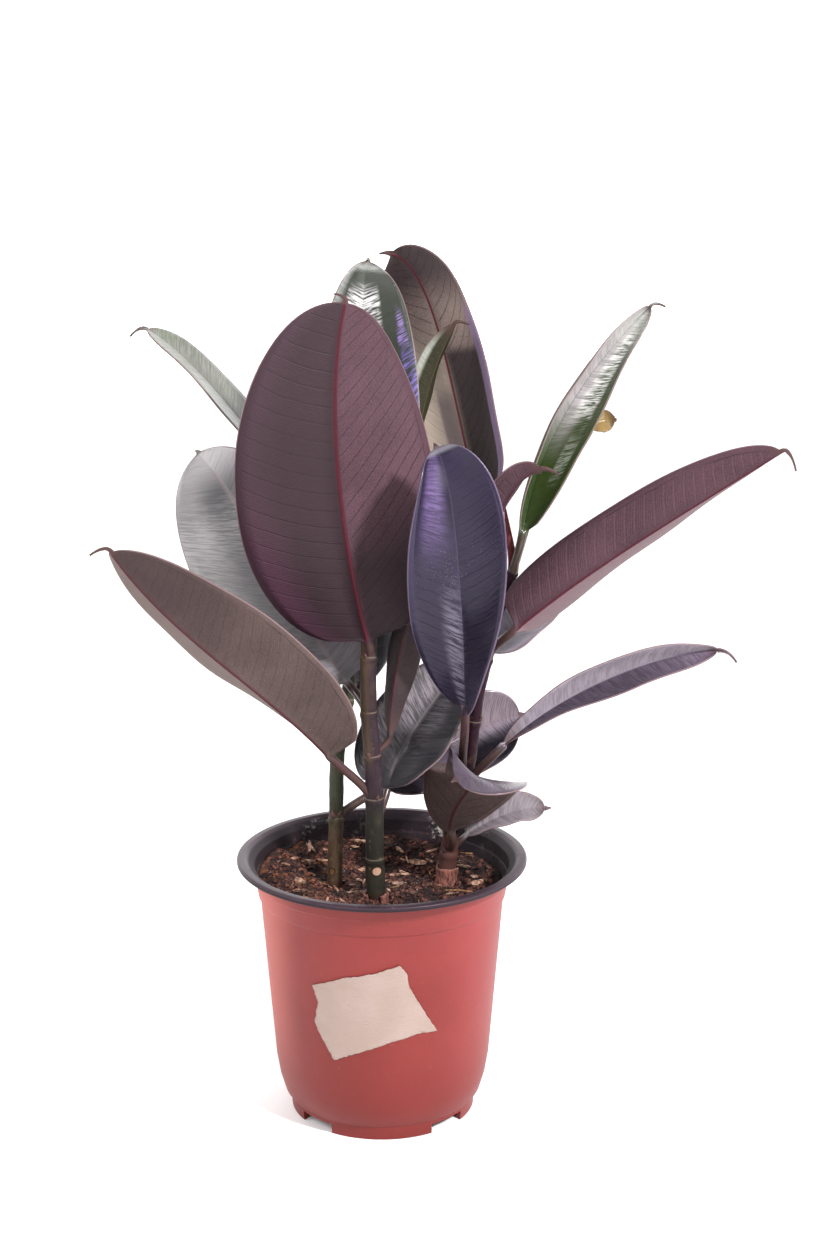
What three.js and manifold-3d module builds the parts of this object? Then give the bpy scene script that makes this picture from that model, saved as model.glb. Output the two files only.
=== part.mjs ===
// Potted rubber plant: three rooted cuttings with twenty leaves in a terracotta-coloured nursery pot.
// Millimetres, +Z up. -Y is the front. The origin is the middle of the pot's foot, on the table.
import * as THREE from 'three';
import { mergeVertices } from 'three/addons/utils/BufferGeometryUtils.js';
import Module from 'manifold-3d';

const wasm = await Module();
wasm.setup();

// Driving dimensions of the pot
const rimRadius = 85;
const potHeight = 156;
const collarFoot = 132.5;
const bodyFoot = 34;
const wallTop = 71.5;
const wallFoot = 63.5;
const wallThickness = 1.2;
const footRadius = 54.5;
const floorHeight = 7;
const notchWidth = 24;
const notchHeight = 6;
const drainRadius = 4;
const drainCircle = 36;
const padRadius = 12;

// Driving dimensions of what grows in it
const gap = 0.3;
const soilHeight = 132;
const bladeThickness = 0.8;
const ribHeight = 1.6;
const ribHalfWidth = 1.7;
const petioleRadius = 2.5;
const nodeSwelling = 0.8;
const tapeThickness = 0.6;

const potSegments = 24;
const stemSides = 9;

const colours = {
  pot: { color: 0xb5504b, roughness: 0.45 },
  soil: { color: 0x3a211c, roughness: 0.95 },
  tape: { color: 0xdcc6bd, roughness: 0.8 },
  stem: { color: 0x4d4436, roughness: 0.6 },
  greenLeaf: { color: 0x3d5138, roughness: 0.3 },
  purpleLeaf: { color: 0x3a3348, roughness: 0.3 },
  brownLeaf: { color: 0x65494d, roughness: 0.6 },
  yellowLeaf: { color: 0x8d8f5c, roughness: 0.5 },
};

const vector = (p) => new THREE.Vector3(...p);

// A closed mesh with shared vertices becomes a solid that can be joined and cut
function toSolid(geometry) {
  geometry.deleteAttribute('normal');
  geometry.deleteAttribute('uv');
  const merged = mergeVertices(geometry, 1e-4);
  const corners = merged.index.array;
  const triangles = [];
  for (let i = 0; i < corners.length; i += 3) {
    const [a, b, c] = [corners[i], corners[i + 1], corners[i + 2]];
    if (a !== b && b !== c && c !== a) triangles.push(a, b, c);
  }
  return new wasm.Manifold(new wasm.Mesh({
    numProp: 3,
    vertProperties: new Float32Array(merged.attributes.position.array),
    triVerts: new Uint32Array(triangles),
  }));
}

function toGeometry(solid) {
  const mesh = solid.getMesh();
  const geometry = new THREE.BufferGeometry();
  geometry.setAttribute('position', new THREE.BufferAttribute(new Float32Array(mesh.vertProperties), 3));
  geometry.setIndex(new THREE.BufferAttribute(new Uint32Array(mesh.triVerts), 1));
  geometry.computeVertexNormals();
  return geometry;
}

// A turned solid about the Z axis from a profile of [radius, height] points
function turned(profile, segments = potSegments) {
  const points = profile.map(([r, z]) => new THREE.Vector2(r, z));
  return toSolid(new THREE.LatheGeometry(points, segments).rotateX(Math.PI / 2));
}

function prism(outline, depth) {
  const shape = new THREE.Shape(outline.map(([x, y]) => new THREE.Vector2(x, y)));
  return new THREE.ExtrudeGeometry(shape, { depth, bevelEnabled: false });
}

// Rings of points, all of one length, are skinned in order and closed at both ends
function skin(rings) {
  const sides = rings[0].length;
  const points = rings.flat();
  const triangles = [];
  for (let i = 0; i + 1 < rings.length; i += 1) {
    for (let j = 0; j < sides; j += 1) {
      const a = i * sides + j;
      const b = i * sides + (j + 1) % sides;
      triangles.push(a, b, a + sides, b, b + sides, a + sides);
    }
  }
  const last = (rings.length - 1) * sides;
  for (let j = 1; j + 1 < sides; j += 1) {
    triangles.push(0, j + 1, j, last, last + j, last + j + 1);
  }
  const geometry = new THREE.BufferGeometry().setFromPoints(points);
  geometry.setIndex(triangles);
  return toSolid(geometry);
}

// The pot: thin wall, flared collar, flat rim, drain floor on a foot ring with four notches, and a middle pad
const potOutside = [
  [footRadius, 0], [footRadius + 0.5, 8], [58.5, 12], [61.5, 22], [wallFoot, bodyFoot],
  [wallTop, collarFoot], [74.4, 143.3], [76, 152.6], [rimRadius, 153], [rimRadius, potHeight],
];
const potInside = [
  [78.8, potHeight], [74.7, 151.5], [73.2, 143.8], [wallTop - wallThickness, collarFoot],
  [wallFoot - wallThickness, bodyFoot], [60.2, 22.3], [57.3, 13.2], [52.5, floorHeight + 1.8],
];
const potUnderside = [
  [0, floorHeight + 1.5], [0, 0], [padRadius, 0], [padRadius + 1, floorHeight],
  [50.5, floorHeight], [footRadius - 2.2, 0],
];

function makePot() {
  let pot = turned([...potOutside, ...potInside, ...potUnderside, potOutside[0]]);
  for (const quarter of [45, 135, 225, 315]) {
    const turn = THREE.MathUtils.degToRad(quarter);
    const notch = new THREE.BoxGeometry(20, notchWidth, notchHeight + 10)
      .translate(footRadius + 2, 0, notchHeight / 2 - 5);
    const drain = new THREE.CylinderGeometry(drainRadius, drainRadius, 20, 6)
      .rotateX(Math.PI / 2)
      .translate(drainCircle, 0, floorHeight);
    pot = pot.subtract(toSolid(notch.rotateZ(turn)));
    pot = pot.subtract(toSolid(drain.rotateZ(turn)));
  }
  return pot;
}

// Stems: [x, y, z, radius] along each one, from its buried end to the tip of its bud sheath
const stems = {
  left: {
    path: [[-24, 9, 84, 4.0], [-28, 7, 128, 4.4], [-27, 7, 173, 4.3], [-26, 8, 212, 4.2], [-22, 10, 236, 4.0],
      [-19, 12, 256, 3.8], [-19, 14, 282, 3.6], [-21, 16, 312, 3.4], [-25, 18, 338, 3.2], [-27, 19, 352, 2.2],
      [-29, 20, 368, 0.8]],
    nodes: [175, 246, 290, 334],
  },
  middle: {
    path: [[-2, -12, 84, 5.4], [-3, -13, 128, 5.8], [-4, -13, 157, 5.4], [-4, -14, 194, 5.2], [-5, -15, 220, 4.9],
      [-7, -15, 248, 4.7], [-7, -13, 278, 4.6], [-6, -10, 305, 4.3], [-4, -4, 344, 4.0], [-3, -2, 360, 2.8],
      [-2, 0, 392, 0.8]],
    nodes: [194, 220, 246, 278, 340],
  },
  right: {
    path: [[34, 22, 84, 5.2], [38, 24, 130, 5.6], [40, 24, 152, 5.0], [44, 25, 181, 4.1], [51, 26, 202, 4.0],
      [54, 26, 228, 3.9], [57, 26, 249, 3.8], [62, 26, 270, 3.6], [67, 25, 293, 3.4], [72, 24, 310, 3.2],
      [76, 22, 322, 3.0], [74, 22, 340, 2.0], [71, 22, 359, 0.7]],
    nodes: [147, 188, 228, 267, 300, 320],
  },
};

// Stations up a stem: its path's own height steps, and three more across each leaf node
function stemRings({ path, nodes }, extra = 0) {
  const route = new THREE.CatmullRomCurve3(path.map(([x, y, z]) => new THREE.Vector3(x, y, z)));
  const spans = path.length - 1;
  const stations = path.map((_, i) => i / spans);
  const heightAt = (u) => route.getPoint(u).z;
  for (const height of nodes) {
    let low = 0;
    let high = 1;
    while (high - low > 1e-4) {
      const middle = (low + high) / 2;
      if (heightAt(middle) < height) low = middle;
      else high = middle;
    }
    const step = 3 / (path[path.length - 1][2] - path[0][2]);
    stations.push(low - step, low, low + step);
  }
  stations.sort((a, b) => a - b);
  const kept = stations.filter((u, i) => i === 0 || u - stations[i - 1] > 0.004);
  return kept.map((u) => {
    const centre = route.getPoint(u);
    const along = route.getTangent(u);
    const k = Math.min(Math.floor(u * spans), spans - 1);
    const share = u * spans - k;
    const plain = path[k][3] * (1 - share) + path[k + 1][3] * share;
    const near = nodes.some((height) => Math.abs(centre.z - height) < 1.2);
    const radius = plain + extra + (near ? nodeSwelling : 0);
    if (u === 0) centre.z -= extra;
    const right = new THREE.Vector3(0, 1, 0).cross(along).normalize();
    const ahead = along.clone().cross(right);
    const ring = [];
    for (let j = 0; j < stemSides; j += 1) {
      const turn = (2 * Math.PI * j) / stemSides;
      ring.push(centre.clone()
        .addScaledVector(right, radius * Math.cos(turn))
        .addScaledVector(ahead, radius * Math.sin(turn)));
    }
    return ring;
  });
}

const makeStem = (stem, extra) => skin(stemRings(stem, extra));

// Soil: fills the pot to an uneven surface, heaped against the back wall, with a hole round each stem and bark
// chips in its top
const { smoothstep } = THREE.MathUtils;
const soilHeap = (x, y) => (13 + 0.05 * x) * smoothstep(Math.hypot(x, y), 40, 66) * smoothstep(y, -25, 35);
const soilSurface = (x, y) => soilHeight + soilHeap(x, y) - 0.09 * x - 0.05 * y
  + 1.5 * Math.sin(x / 9 + 1) * Math.cos(y / 11) + Math.sin((x + y) / 6);

// Radius of the soil at a height: it follows the inside of the pot
function soilRadius(z) {
  const above = potInside.findLastIndex(([, height]) => height >= z);
  const [[topRadius, top], [lowRadius, low]] = potInside.slice(above, above + 2);
  return lowRadius + ((topRadius - lowRadius) * (z - low)) / (top - low) - gap;
}

function makeSoil() {
  const ringAt = (radius, heightOf) => {
    const ring = [];
    for (let j = 0; j < potSegments; j += 1) {
      const turn = (2 * Math.PI * j) / potSegments;
      const x = radius * Math.cos(turn);
      const y = radius * Math.sin(turn);
      ring.push(new THREE.Vector3(x, y, heightOf(x, y)));
    }
    return ring;
  };
  const rings = [[50, 9.2], [56.7, 13.6], [59.6, 22.6], [soilRadius(bodyFoot), bodyFoot]]
    .map(([radius, z]) => ringAt(radius, () => z));
  const edge = soilRadius(soilHeight);
  rings.push(ringAt(edge, (x, y) => Math.min(soilSurface(x, y) - 1.5, collarFoot)));
  for (const share of [1, 0.76, 0.46, 0.2]) {
    rings.push(ringAt(edge * share, soilSurface));
  }
  for (const point of [...rings[4], ...rings[5]]) {
    const widen = soilRadius(point.z) / edge;
    point.x *= widen;
    point.y *= widen;
  }
  return skin(rings);
}

// Bark chips and sticks lie half sunk in the soil: [x, y, length, width, turn in degrees]
const chips = [
  [-46, -28, 22, 4, 20], [-40, -42, 16, 3, 75], [-8, -45, 20, 4, 110], [12, -38, 14, 5, 40], [24, -30, 18, 4, 160],
  [44, -22, 15, 3, 65], [-50, 2, 14, 4, 130], [-46, 30, 12, 4, 15], [8, 12, 16, 4, 95], [58, 10, 13, 3, 35],
  [20, 48, 15, 4, 140], [-12, 40, 18, 3, 60], [30, -54, 12, 4, 5], [-24, -56, 13, 4, 150],
];

function chipSolid([x, y, length, width, turn]) {
  const chip = new THREE.BoxGeometry(length, width, 3)
    .rotateY(THREE.MathUtils.degToRad(6))
    .rotateZ(THREE.MathUtils.degToRad(turn))
    .translate(x, y, soilSurface(x, y) + 0.4);
  return toSolid(chip);
}

// The leaf formulas: half outline, fold of one half blade, and the midrib as a curve through four points
const outlineWidth = (t, blunt, skew) => Math.sqrt(Math.max(0, 1 - Math.abs(2 * t ** skew - 1) ** blunt));

function halfBlade(share, width, fold, curl) {
  const turn = THREE.MathUtils.degToRad(curl) || 1e-6;
  const lean = THREE.MathUtils.degToRad(fold);
  const out = (width * Math.sin(turn * share)) / turn;
  const up = (width * (1 - Math.cos(turn * share))) / turn;
  return {
    out: out * Math.cos(lean) - up * Math.sin(lean),
    up: out * Math.sin(lean) + up * Math.cos(lean),
    slope: lean + turn * share,
  };
}

function throughFour([a, b, c, d]) {
  const blend = (p, q, r, s) => a.clone().multiplyScalar(p).addScaledVector(b, q)
    .addScaledVector(c, r).addScaledVector(d, s).divideScalar(6);
  return new THREE.CubicBezierCurve3(a, blend(-5, 18, -9, 2), blend(2, -9, 18, -5), d);
}

function facing([azimuth, elevation]) {
  const a = THREE.MathUtils.degToRad(azimuth);
  const e = THREE.MathUtils.degToRad(elevation);
  return new THREE.Vector3(Math.cos(e) * Math.cos(a), Math.cos(e) * Math.sin(a), Math.sin(e));
}

// One ring round the leaf at a station: five points over the top, seven under it with the rib
function leafRing(centre, along, face, width, leaf, ribShare) {
  const up = face.clone().addScaledVector(along, -face.dot(along)).normalize();
  const side = along.clone().cross(up);
  const at = (out, rise) => centre.clone().addScaledVector(side, out).addScaledVector(up, rise);
  const onBlade = (s, thick) => {
    const fold = s < 0 ? leaf.fold[0] : leaf.fold[1];
    const half = halfBlade(Math.abs(s), width, fold, leaf.curl);
    const out = half.out - thick * Math.sin(half.slope);
    return at(s < 0 ? -out : out, half.up + thick * Math.cos(half.slope));
  };
  const thick = bladeThickness / 2;
  const ribSide = Math.min(ribHalfWidth * ribShare, 0.35 * width) / width;
  return [
    onBlade(-1, thick), onBlade(-0.5, thick), at(0, thick), onBlade(0.5, thick), onBlade(1, thick),
    onBlade(1, -thick), onBlade(0.5, -thick), onBlade(ribSide, -thick), at(0, -thick - ribHeight * ribShare),
    onBlade(-ribSide, -thick), onBlade(-0.5, -thick), onBlade(-1, -thick),
  ];
}

const petioleAngles = [180, 135, 90, 45, 0, -10, -35, -65, -90, -115, -145, -170];

function petioleRing(centre, along, face, radius) {
  const up = face.clone().addScaledVector(along, -face.dot(along)).normalize();
  const side = along.clone().cross(up);
  return petioleAngles.map((degrees) => {
    const turn = THREE.MathUtils.degToRad(degrees);
    return centre.clone().addScaledVector(side, radius * Math.cos(turn)).addScaledVector(up, radius * Math.sin(turn));
  });
}

// A leaf in one piece: stalk from inside its stem, blade with a rib underneath, and a drawn-out tip
function leafSolid(leaf) {
  const rib = throughFour(leaf.rib.map(vector));
  const base = rib.getPoint(0);
  const root = vector(leaf.root);
  const reach = base.distanceTo(root);
  const start = rib.getTangent(0);
  const leave = base.clone().sub(root).normalize().add(new THREE.Vector3(0, 0, 0.4)).normalize();
  const petiole = new THREE.CubicBezierCurve3(
    root,
    root.clone().addScaledVector(leave, reach * 0.35),
    base.clone().addScaledVector(start, -reach * 0.35),
    base,
  );
  const [faceBase, faceTip] = leaf.face.map(facing);
  const rings = [];
  const radius = leaf.stalk ?? petioleRadius;
  for (const u of [0, 0.4, 0.8]) {
    rings.push(petioleRing(petiole.getPoint(u), petiole.getTangent(u), faceBase, radius));
  }
  const bladeRings = rib.getLength() > 120 ? 11 : 9;
  for (let i = 1; i < bladeRings; i += 1) {
    const t = (1 - Math.cos((Math.PI * i) / bladeRings)) / 2;
    const width = Math.max(leaf.wide * outlineWidth(t, leaf.blunt, leaf.skew), 1);
    const face = faceBase.clone().lerp(faceTip, t).normalize();
    rings.push(leafRing(rib.getPoint(t), rib.getTangent(t), face, width, leaf, 1 - 0.75 * t));
  }
  const tip = rib.getPoint(1);
  const end = rib.getTangent(1);
  const drip = vector(leaf.drip);
  const tail = new THREE.QuadraticBezierCurve3(
    tip,
    tip.clone().addScaledVector(end, drip.length() * 0.5),
    tip.clone().add(drip),
  );
  for (const [u, width] of [[0.1, 1.5], [1, 0.5]]) {
    rings.push(leafRing(tail.getPoint(u), tail.getTangent(u), faceTip, width, { ...leaf, fold: [0, 0] }, 0.2));
  }
  return skin(rings);
}

// Leaves: midrib through four points, the way the upper side faces at base and tip [azimuth, elevation],
// half width, outline (blunt, skew), fold of the left and right half, curl of both, and the drawn-out tip
const leaves = {
  front_broad: {
    stem: 'middle', root: [-7, -13, 278], rib: [[-7, -19, 290], [-18, -26, 346], [-24, -33, 416], [-18, -38, 483]],
    face: [[86, 10], [124, -5]], wide: 58, blunt: 2.1, skew: 0.9, fold: [6, 6], curl: 6, drip: [-6, -2, 5],
    color: 'brownLeaf',
  },
  left_low: {
    stem: 'middle', root: [-4, -14, 194], rib: [[-29, -22, 223], [-67, -42, 266], [-109, -52, 306], [-145, -60, 351]],
    face: [[48, 6], [52, 12]], wide: 42, blunt: 2, skew: 0.75, fold: [23, 25], curl: 3, drip: [-11, -3, -1],
    color: 'brownLeaf',
  },
  left_back: {
    stem: 'middle', root: [-7, -15, 246], rib: [[-20, 1, 261], [-46, 7, 301], [-77, 24, 350], [-105, 32, 389]],
    face: [[268, 10], [244, -2]], wide: 46, blunt: 2, skew: 0.96, fold: [8, 8], curl: 17, drip: [-2, 0, 1],
    color: 'greenLeaf',
  },
  left_top: {
    stem: 'left', root: [-25, 18, 334], rib: [[-36, 20, 352], [-66, 34, 387], [-98, 42, 426], [-134, 46, 458]],
    face: [[343, 14], [346, 14]], wide: 22, blunt: 2.4, skew: 1, fold: [8, 5], curl: 5, drip: [-10, 0, -4],
    color: 'greenLeaf',
  },
  top_centre: {
    stem: 'middle', root: [-4, -5, 340], rib: [[-4, 6, 350], [-7, 11, 400], [-10, 15, 456], [-7, 15, 500]],
    face: [[288, 9], [298, 9]], wide: 31, blunt: 2.1, skew: 0.93, fold: [11, 9], curl: 18, drip: [0, -3, 1],
    color: 'greenLeaf',
  },
  top_tall: {
    stem: 'right', root: [69, 25, 300], rib: [[60, 42, 357], [46, 57, 405], [30, 60, 466], [6, 50, 501]],
    face: [[47, -18], [54, 2]], wide: 36, blunt: 3, skew: 0.97, fold: [2, 3], curl: -36, drip: [-7, -2, 0],
    color: 'brownLeaf',
  },
  young_olive: {
    stem: 'middle', root: [-5, -8, 320], rib: [[17, 30, 373], [21, 34, 402], [29, 36, 433], [42, 30, 463]],
    face: [[132, 17], [138, 14]], wide: 13, blunt: 2.3, skew: 1, fold: [22, 20], curl: 12, drip: [8, 0, 0],
    color: 'greenLeaf', stalk: 1.9,
  },
  front_purple: {
    stem: 'right', root: [47, 26, 196], rib: [[48, -14, 248], [46, -32, 300], [41, -42, 362], [31, -42, 405]],
    face: [[225, 10], [300, -8]], wide: 32, blunt: 1.8, skew: 1.15, fold: [16, 18], curl: 25, drip: [-1, -4, 3],
    color: 'purpleLeaf',
  },
  small_red: {
    stem: 'right', root: [66, 25, 288], rib: [[59, 4, 331], [65, -4, 354], [74, -12, 376], [89, -20, 389]],
    face: [[140, 16], [128, 5]], wide: 14, blunt: 2.2, skew: 1, fold: [24, 22], curl: 8, drip: [10, 0, -3],
    color: 'brownLeaf', stalk: 1.9,
  },
  right_green: {
    stem: 'right', root: [76, 22, 320], rib: [[81, 16, 345], [98, 30, 398], [125, 34, 441], [153, 38, 472]],
    face: [[278, -5], [302, 35]], wide: 29, blunt: 1.3, skew: 0.75, fold: [45, 43], curl: 42, drip: [9, 0, 0],
    color: 'greenLeaf',
  },
  yellow_small: {
    stem: 'right', root: [76, 22, 320], rib: [[121, 56, 400], [126, 58, 402], [131, 60, 403], [136.5, 60, 404]],
    face: [[245, 14], [250, 14]], wide: 7.3, blunt: 2.2, skew: 1, fold: [7, 7], curl: 7, drip: [1, 0, 2],
    color: 'yellowLeaf', stalk: 1.5,
  },
  right_long: {
    stem: 'right', root: [61, 26, 267], rib: [[77, -2, 293], [123, -6, 330], [173, -22, 368], [218, -44, 403]],
    face: [[94, 11], [120, 14]], wide: 26, blunt: 2.7, skew: 0.6, fold: [34, 34], curl: 21, drip: [8, -1, -10],
    color: 'brownLeaf',
  },
  right_back: {
    stem: 'right', root: [61, 26, 267], rib: [[61, 38, 269], [76, 51, 278], [93, 67, 288], [111, 85, 296]],
    face: [[235, 11], [224, 12]], wide: 25, blunt: 2.3, skew: 1, fold: [14, 14], curl: 13, drip: [6, 3, 0],
    color: 'purpleLeaf',
  },
  right_low: {
    stem: 'right', root: [44, 25, 182], rib: [[71, 14, 218], [104, 12, 245], [148, 6, 269], [193, 1, 280]],
    face: [[230, 6], [268, 5]], wide: 19, blunt: 1.4, skew: 1.4, fold: [36, 36], curl: 40, drip: [11, -2, -7],
    color: 'purpleLeaf',
  },
  centre_low: {
    stem: 'middle', root: [-4, -14, 176], rib: [[3, 2, 195], [14, 14, 219], [31, 20, 244], [49, 20, 270]],
    face: [[240, 8], [248, -4]], wide: 29, blunt: 2, skew: 0.72, fold: [16, 16], curl: 16, drip: [3, 0, 6],
    color: 'greenLeaf',
  },
  low_behind: {
    stem: 'left', root: [-27, 7, 175], rib: [[0, 20, 191], [27, 42, 203], [58, 58, 215], [83, 64, 222]],
    face: [[258, 10], [253, 5]], wide: 26, blunt: 2.2, skew: 1.05, fold: [12, 12], curl: 12, drip: [5, 2, 0],
    color: 'purpleLeaf',
  },
  narrow_mid: {
    stem: 'middle', root: [-5, -15, 220], rib: [[5, -10, 232], [9, -12, 269], [17, -8, 306], [28, -6, 343]],
    face: [[78, 10], [64, 6]], wide: 15, blunt: 1.8, skew: 1.2, fold: [36, 36], curl: 22, drip: [1, 1, 6],
    color: 'brownLeaf', stalk: 2,
  },
  folded_front: {
    stem: 'right', root: [40, 24, 147], rib: [[41, 14, 164], [46, 9, 186], [55, -4, 204], [43, -16, 207]],
    face: [[70, 15], [285, 45]], wide: 31, blunt: 1.8, skew: 1.4, fold: [22, -10], curl: 5, drip: [-3, -2, -1],
    color: 'brownLeaf',
  },
  small_right: {
    stem: 'right', root: [40, 24, 147], rib: [[50, 26, 158], [65, 28, 167], [81, 31, 172], [97, 33, 173]],
    face: [[225, 35], [240, 25]], wide: 13, blunt: 2.2, skew: 1, fold: [25, 25], curl: 20, drip: [4, 1, 0],
    color: 'purpleLeaf', stalk: 1.9,
  },
  back_mid: {
    stem: 'left', root: [-20, 11, 246], rib: [[-13, 24, 253], [-10, 31, 290], [-8, 38, 324], [-7, 40, 360]],
    face: [[294, 2], [292, 2]], wide: 22, blunt: 2.2, skew: 1, fold: [18, 17], curl: 20, drip: [0, 2, 6],
    color: 'brownLeaf',
  },
};

// Label: a torn piece of masking tape on the front of the pot, its outline as [x, z]
const tapeOutline = [
  [-39, 98], [-22, 106], [-5, 110], [11, 115], [15, 110], [16, 102], [22, 90], [32, 71], [21, 71], [6, 67],
  [-17, 58], [-27, 53], [-36, 70], [-38, 75], [-36, 88],
];

function makeTape() {
  const wallAt = (z) => wallFoot + ((wallTop - wallFoot) * (z - bodyFoot)) / (collarFoot - bodyFoot);
  const low = 48;
  const high = 120;
  const shell = turned([
    [wallAt(low) + gap, low], [wallAt(low) + gap + tapeThickness, low],
    [wallAt(high) + gap + tapeThickness, high], [wallAt(high) + gap, high], [wallAt(low) + gap, low],
  ]);
  return shell.intersect(toSolid(prism(tapeOutline, 80).rotateX(Math.PI / 2)));
}

const plant = new THREE.Group();

function place(name, solid, look) {
  const material = new THREE.MeshStandardMaterial({ ...colours[look], metalness: 0 });
  const mesh = new THREE.Mesh(toGeometry(solid), material);
  mesh.name = name;
  plant.add(mesh);
}

place('nursery_pot', makePot(), 'pot');
place('masking_tape_label', makeTape(), 'tape');

let soil = makeSoil();
for (const chip of chips) soil = soil.add(chipSolid(chip));
for (const stem of Object.values(stems)) soil = soil.subtract(makeStem(stem, gap));
place('potting_soil', soil, 'soil');

for (const [side, stem] of Object.entries(stems)) place(`stem_${side}`, makeStem(stem, 0), 'stem');
for (const [name, leaf] of Object.entries(leaves)) {
  const cut = leafSolid(leaf).subtract(makeStem(stems[leaf.stem], gap));
  const [blade] = cut.decompose().sort((a, b) => b.volume() - a.volume());
  place(`leaf_${name}`, blade, leaf.color);
}

export default plant;
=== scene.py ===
import math
import random

import bmesh
import bpy
from mathutils import Matrix, Vector, noise


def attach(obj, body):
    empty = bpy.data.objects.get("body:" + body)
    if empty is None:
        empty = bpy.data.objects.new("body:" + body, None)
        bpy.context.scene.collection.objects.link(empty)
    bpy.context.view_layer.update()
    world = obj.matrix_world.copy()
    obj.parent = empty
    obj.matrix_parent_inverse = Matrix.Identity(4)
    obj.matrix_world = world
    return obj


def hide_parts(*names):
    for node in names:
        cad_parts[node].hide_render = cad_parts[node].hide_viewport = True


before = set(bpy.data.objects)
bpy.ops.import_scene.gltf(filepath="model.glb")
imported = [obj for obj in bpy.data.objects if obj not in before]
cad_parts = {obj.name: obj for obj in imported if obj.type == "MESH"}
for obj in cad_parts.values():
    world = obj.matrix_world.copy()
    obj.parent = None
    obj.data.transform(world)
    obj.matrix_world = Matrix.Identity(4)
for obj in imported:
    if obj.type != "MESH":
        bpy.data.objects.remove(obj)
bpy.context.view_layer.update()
mm = 0.001
fullTurn = 2 * math.pi
closeBy = 1e-7  # metres: points nearer than this are one
print("frame loaded:", len(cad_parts), "nodes")


# Shader maths: a socket that understands + - * / and a few masks
class Flow:
    def __init__(self, finish, socket):
        self.finish = finish
        self.socket = socket

    def maths(self, operation, *others):
        sockets = {0: self}
        for place, other in enumerate(others):
            sockets[place + 1] = other
        return self.finish.node("ShaderNodeMath", {"operation": operation}, sockets)

    def flipped(self, operation, other):
        return self.finish.node("ShaderNodeMath", {"operation": operation}, {0: other, 1: self})

    def __add__(self, other):
        return self.maths("ADD", other)

    def __sub__(self, other):
        return self.maths("SUBTRACT", other)

    def __rsub__(self, other):
        return self.flipped("SUBTRACT", other)

    def __mul__(self, other):
        return self.maths("MULTIPLY", other)

    def __truediv__(self, other):
        return self.maths("DIVIDE", other)

    def __rtruediv__(self, other):
        return self.flipped("DIVIDE", other)

    def __abs__(self):
        return self.maths("ABSOLUTE")

    __radd__ = __add__
    __rmul__ = __mul__

    def fract(self):
        return self.maths("FRACT")

    def root(self):
        return self.maths("SQRT")

    def most(self, other):
        return self.maths("MAXIMUM", other)

    # 0 below low and 1 above high, or the other way round when low is the larger one
    def ramp(self, low, high):
        return self.finish.node(
            "ShaderNodeMapRange", {"interpolation_type": "SMOOTHSTEP", "clamp": True},
            {0: self, 1: low, 2: high, 3: 0.0, 4: 1.0})

    # 1 where the value lies from low to high, with edges that are soft on both sides
    def within(self, low, high, soft):
        return self.ramp(low - soft, low + soft) * self.ramp(high + soft, high - soft)


# A screen colour from 0 to 255 as the linear colour of a socket
def paint(red, green, blue):
    linear = []
    for share in (red / 255, green / 255, blue / 255):
        linear.append(share / 12.92 if share <= 0.04045 else ((share + 0.055) / 1.055) ** 2.4)
    return (*linear, 1.0)


def scaled(tone, factor):
    return [value * factor for value in tone]


# One material: nodes are added by one method, and closed by one principled shader
class Finish:
    def __init__(self, name):
        self.material = bpy.data.materials.new(name)
        self.material.use_nodes = True
        self.tree = self.material.node_tree
        self.shader = self.tree.nodes["Principled BSDF"]
        self.place = self.node("ShaderNodeTexCoord", {}, {}, "Object")

    def node(self, kind, settings, sockets, output=0):
        made = self.tree.nodes.new(kind)
        for name, value in settings.items():
            setattr(made, name, value)
        for place, value in sockets.items():
            self.plug(made.inputs[place], value)
        return Flow(self, made.outputs[output])

    def plug(self, target, value):
        if isinstance(value, Flow):
            self.tree.links.new(value.socket, target)
        else:
            target.default_value = value

    def parts(self, vector):
        made = self.node("ShaderNodeSeparateXYZ", {}, {0: vector})
        outputs = made.socket.node.outputs
        return [Flow(self, outputs[axis]) for axis in range(3)]

    def join(self, x, y, z):
        return self.node("ShaderNodeCombineXYZ", {}, {0: x, 1: y, 2: z})

    def attribute(self, name, output):
        return self.node("ShaderNodeAttribute", {"attribute_name": name}, {}, output)

    def stretched(self, scale, turn=(0, 0, 0)):
        return self.node("ShaderNodeMapping", {}, {"Vector": self.place, "Rotation": turn, "Scale": scale})

    def grain(self, vector, scale, detail=3.0, rough=0.55):
        sockets = {"Vector": vector, "Scale": scale, "Detail": detail, "Roughness": rough}
        return self.node("ShaderNodeTexNoise", {}, sockets)

    def specks(self, scale):
        return self.node("ShaderNodeTexVoronoi", {"feature": "F1"}, {"Vector": self.place, "Scale": scale})

    def blend(self, mask, low, high):
        return self.node(
            "ShaderNodeMix", {"data_type": "RGBA", "clamp_factor": True}, {0: mask, 6: low, 7: high}, 2)

    # Two paints mixed by a mask
    def mottled(self, mask, low, high):
        return self.blend(mask, paint(*low), paint(*high))

    # Paints laid over a colour, one after the other, each with its mask
    def coats(self, colour, *layers):
        for mask, tone in layers:
            colour = self.blend(mask, colour, paint(*tone))
        return colour

    def bump(self, height, distance, strength=1.0):
        sockets = {"Height": height, "Distance": distance, "Strength": strength}
        return self.node("ShaderNodeBump", {}, sockets)

    def close(self, **sockets):
        for name, value in sockets.items():
            self.plug(self.shader.inputs[name.replace("_", " ")], value)
        return self.material


def finished(name, mesh, materials, node, smooth=True):
    piece = bpy.data.objects.new(name, mesh)
    bpy.context.scene.collection.objects.link(piece)
    for material in materials:
        mesh.materials.append(material)
    if smooth:
        for polygon in mesh.polygons:
            polygon.use_smooth = True
    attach(piece, "root")
    if node:
        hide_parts(node)
    return piece


def toMesh(bm, name):
    mesh = bpy.data.meshes.new(name)
    bm.to_mesh(mesh)
    bm.free()
    return mesh


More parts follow.
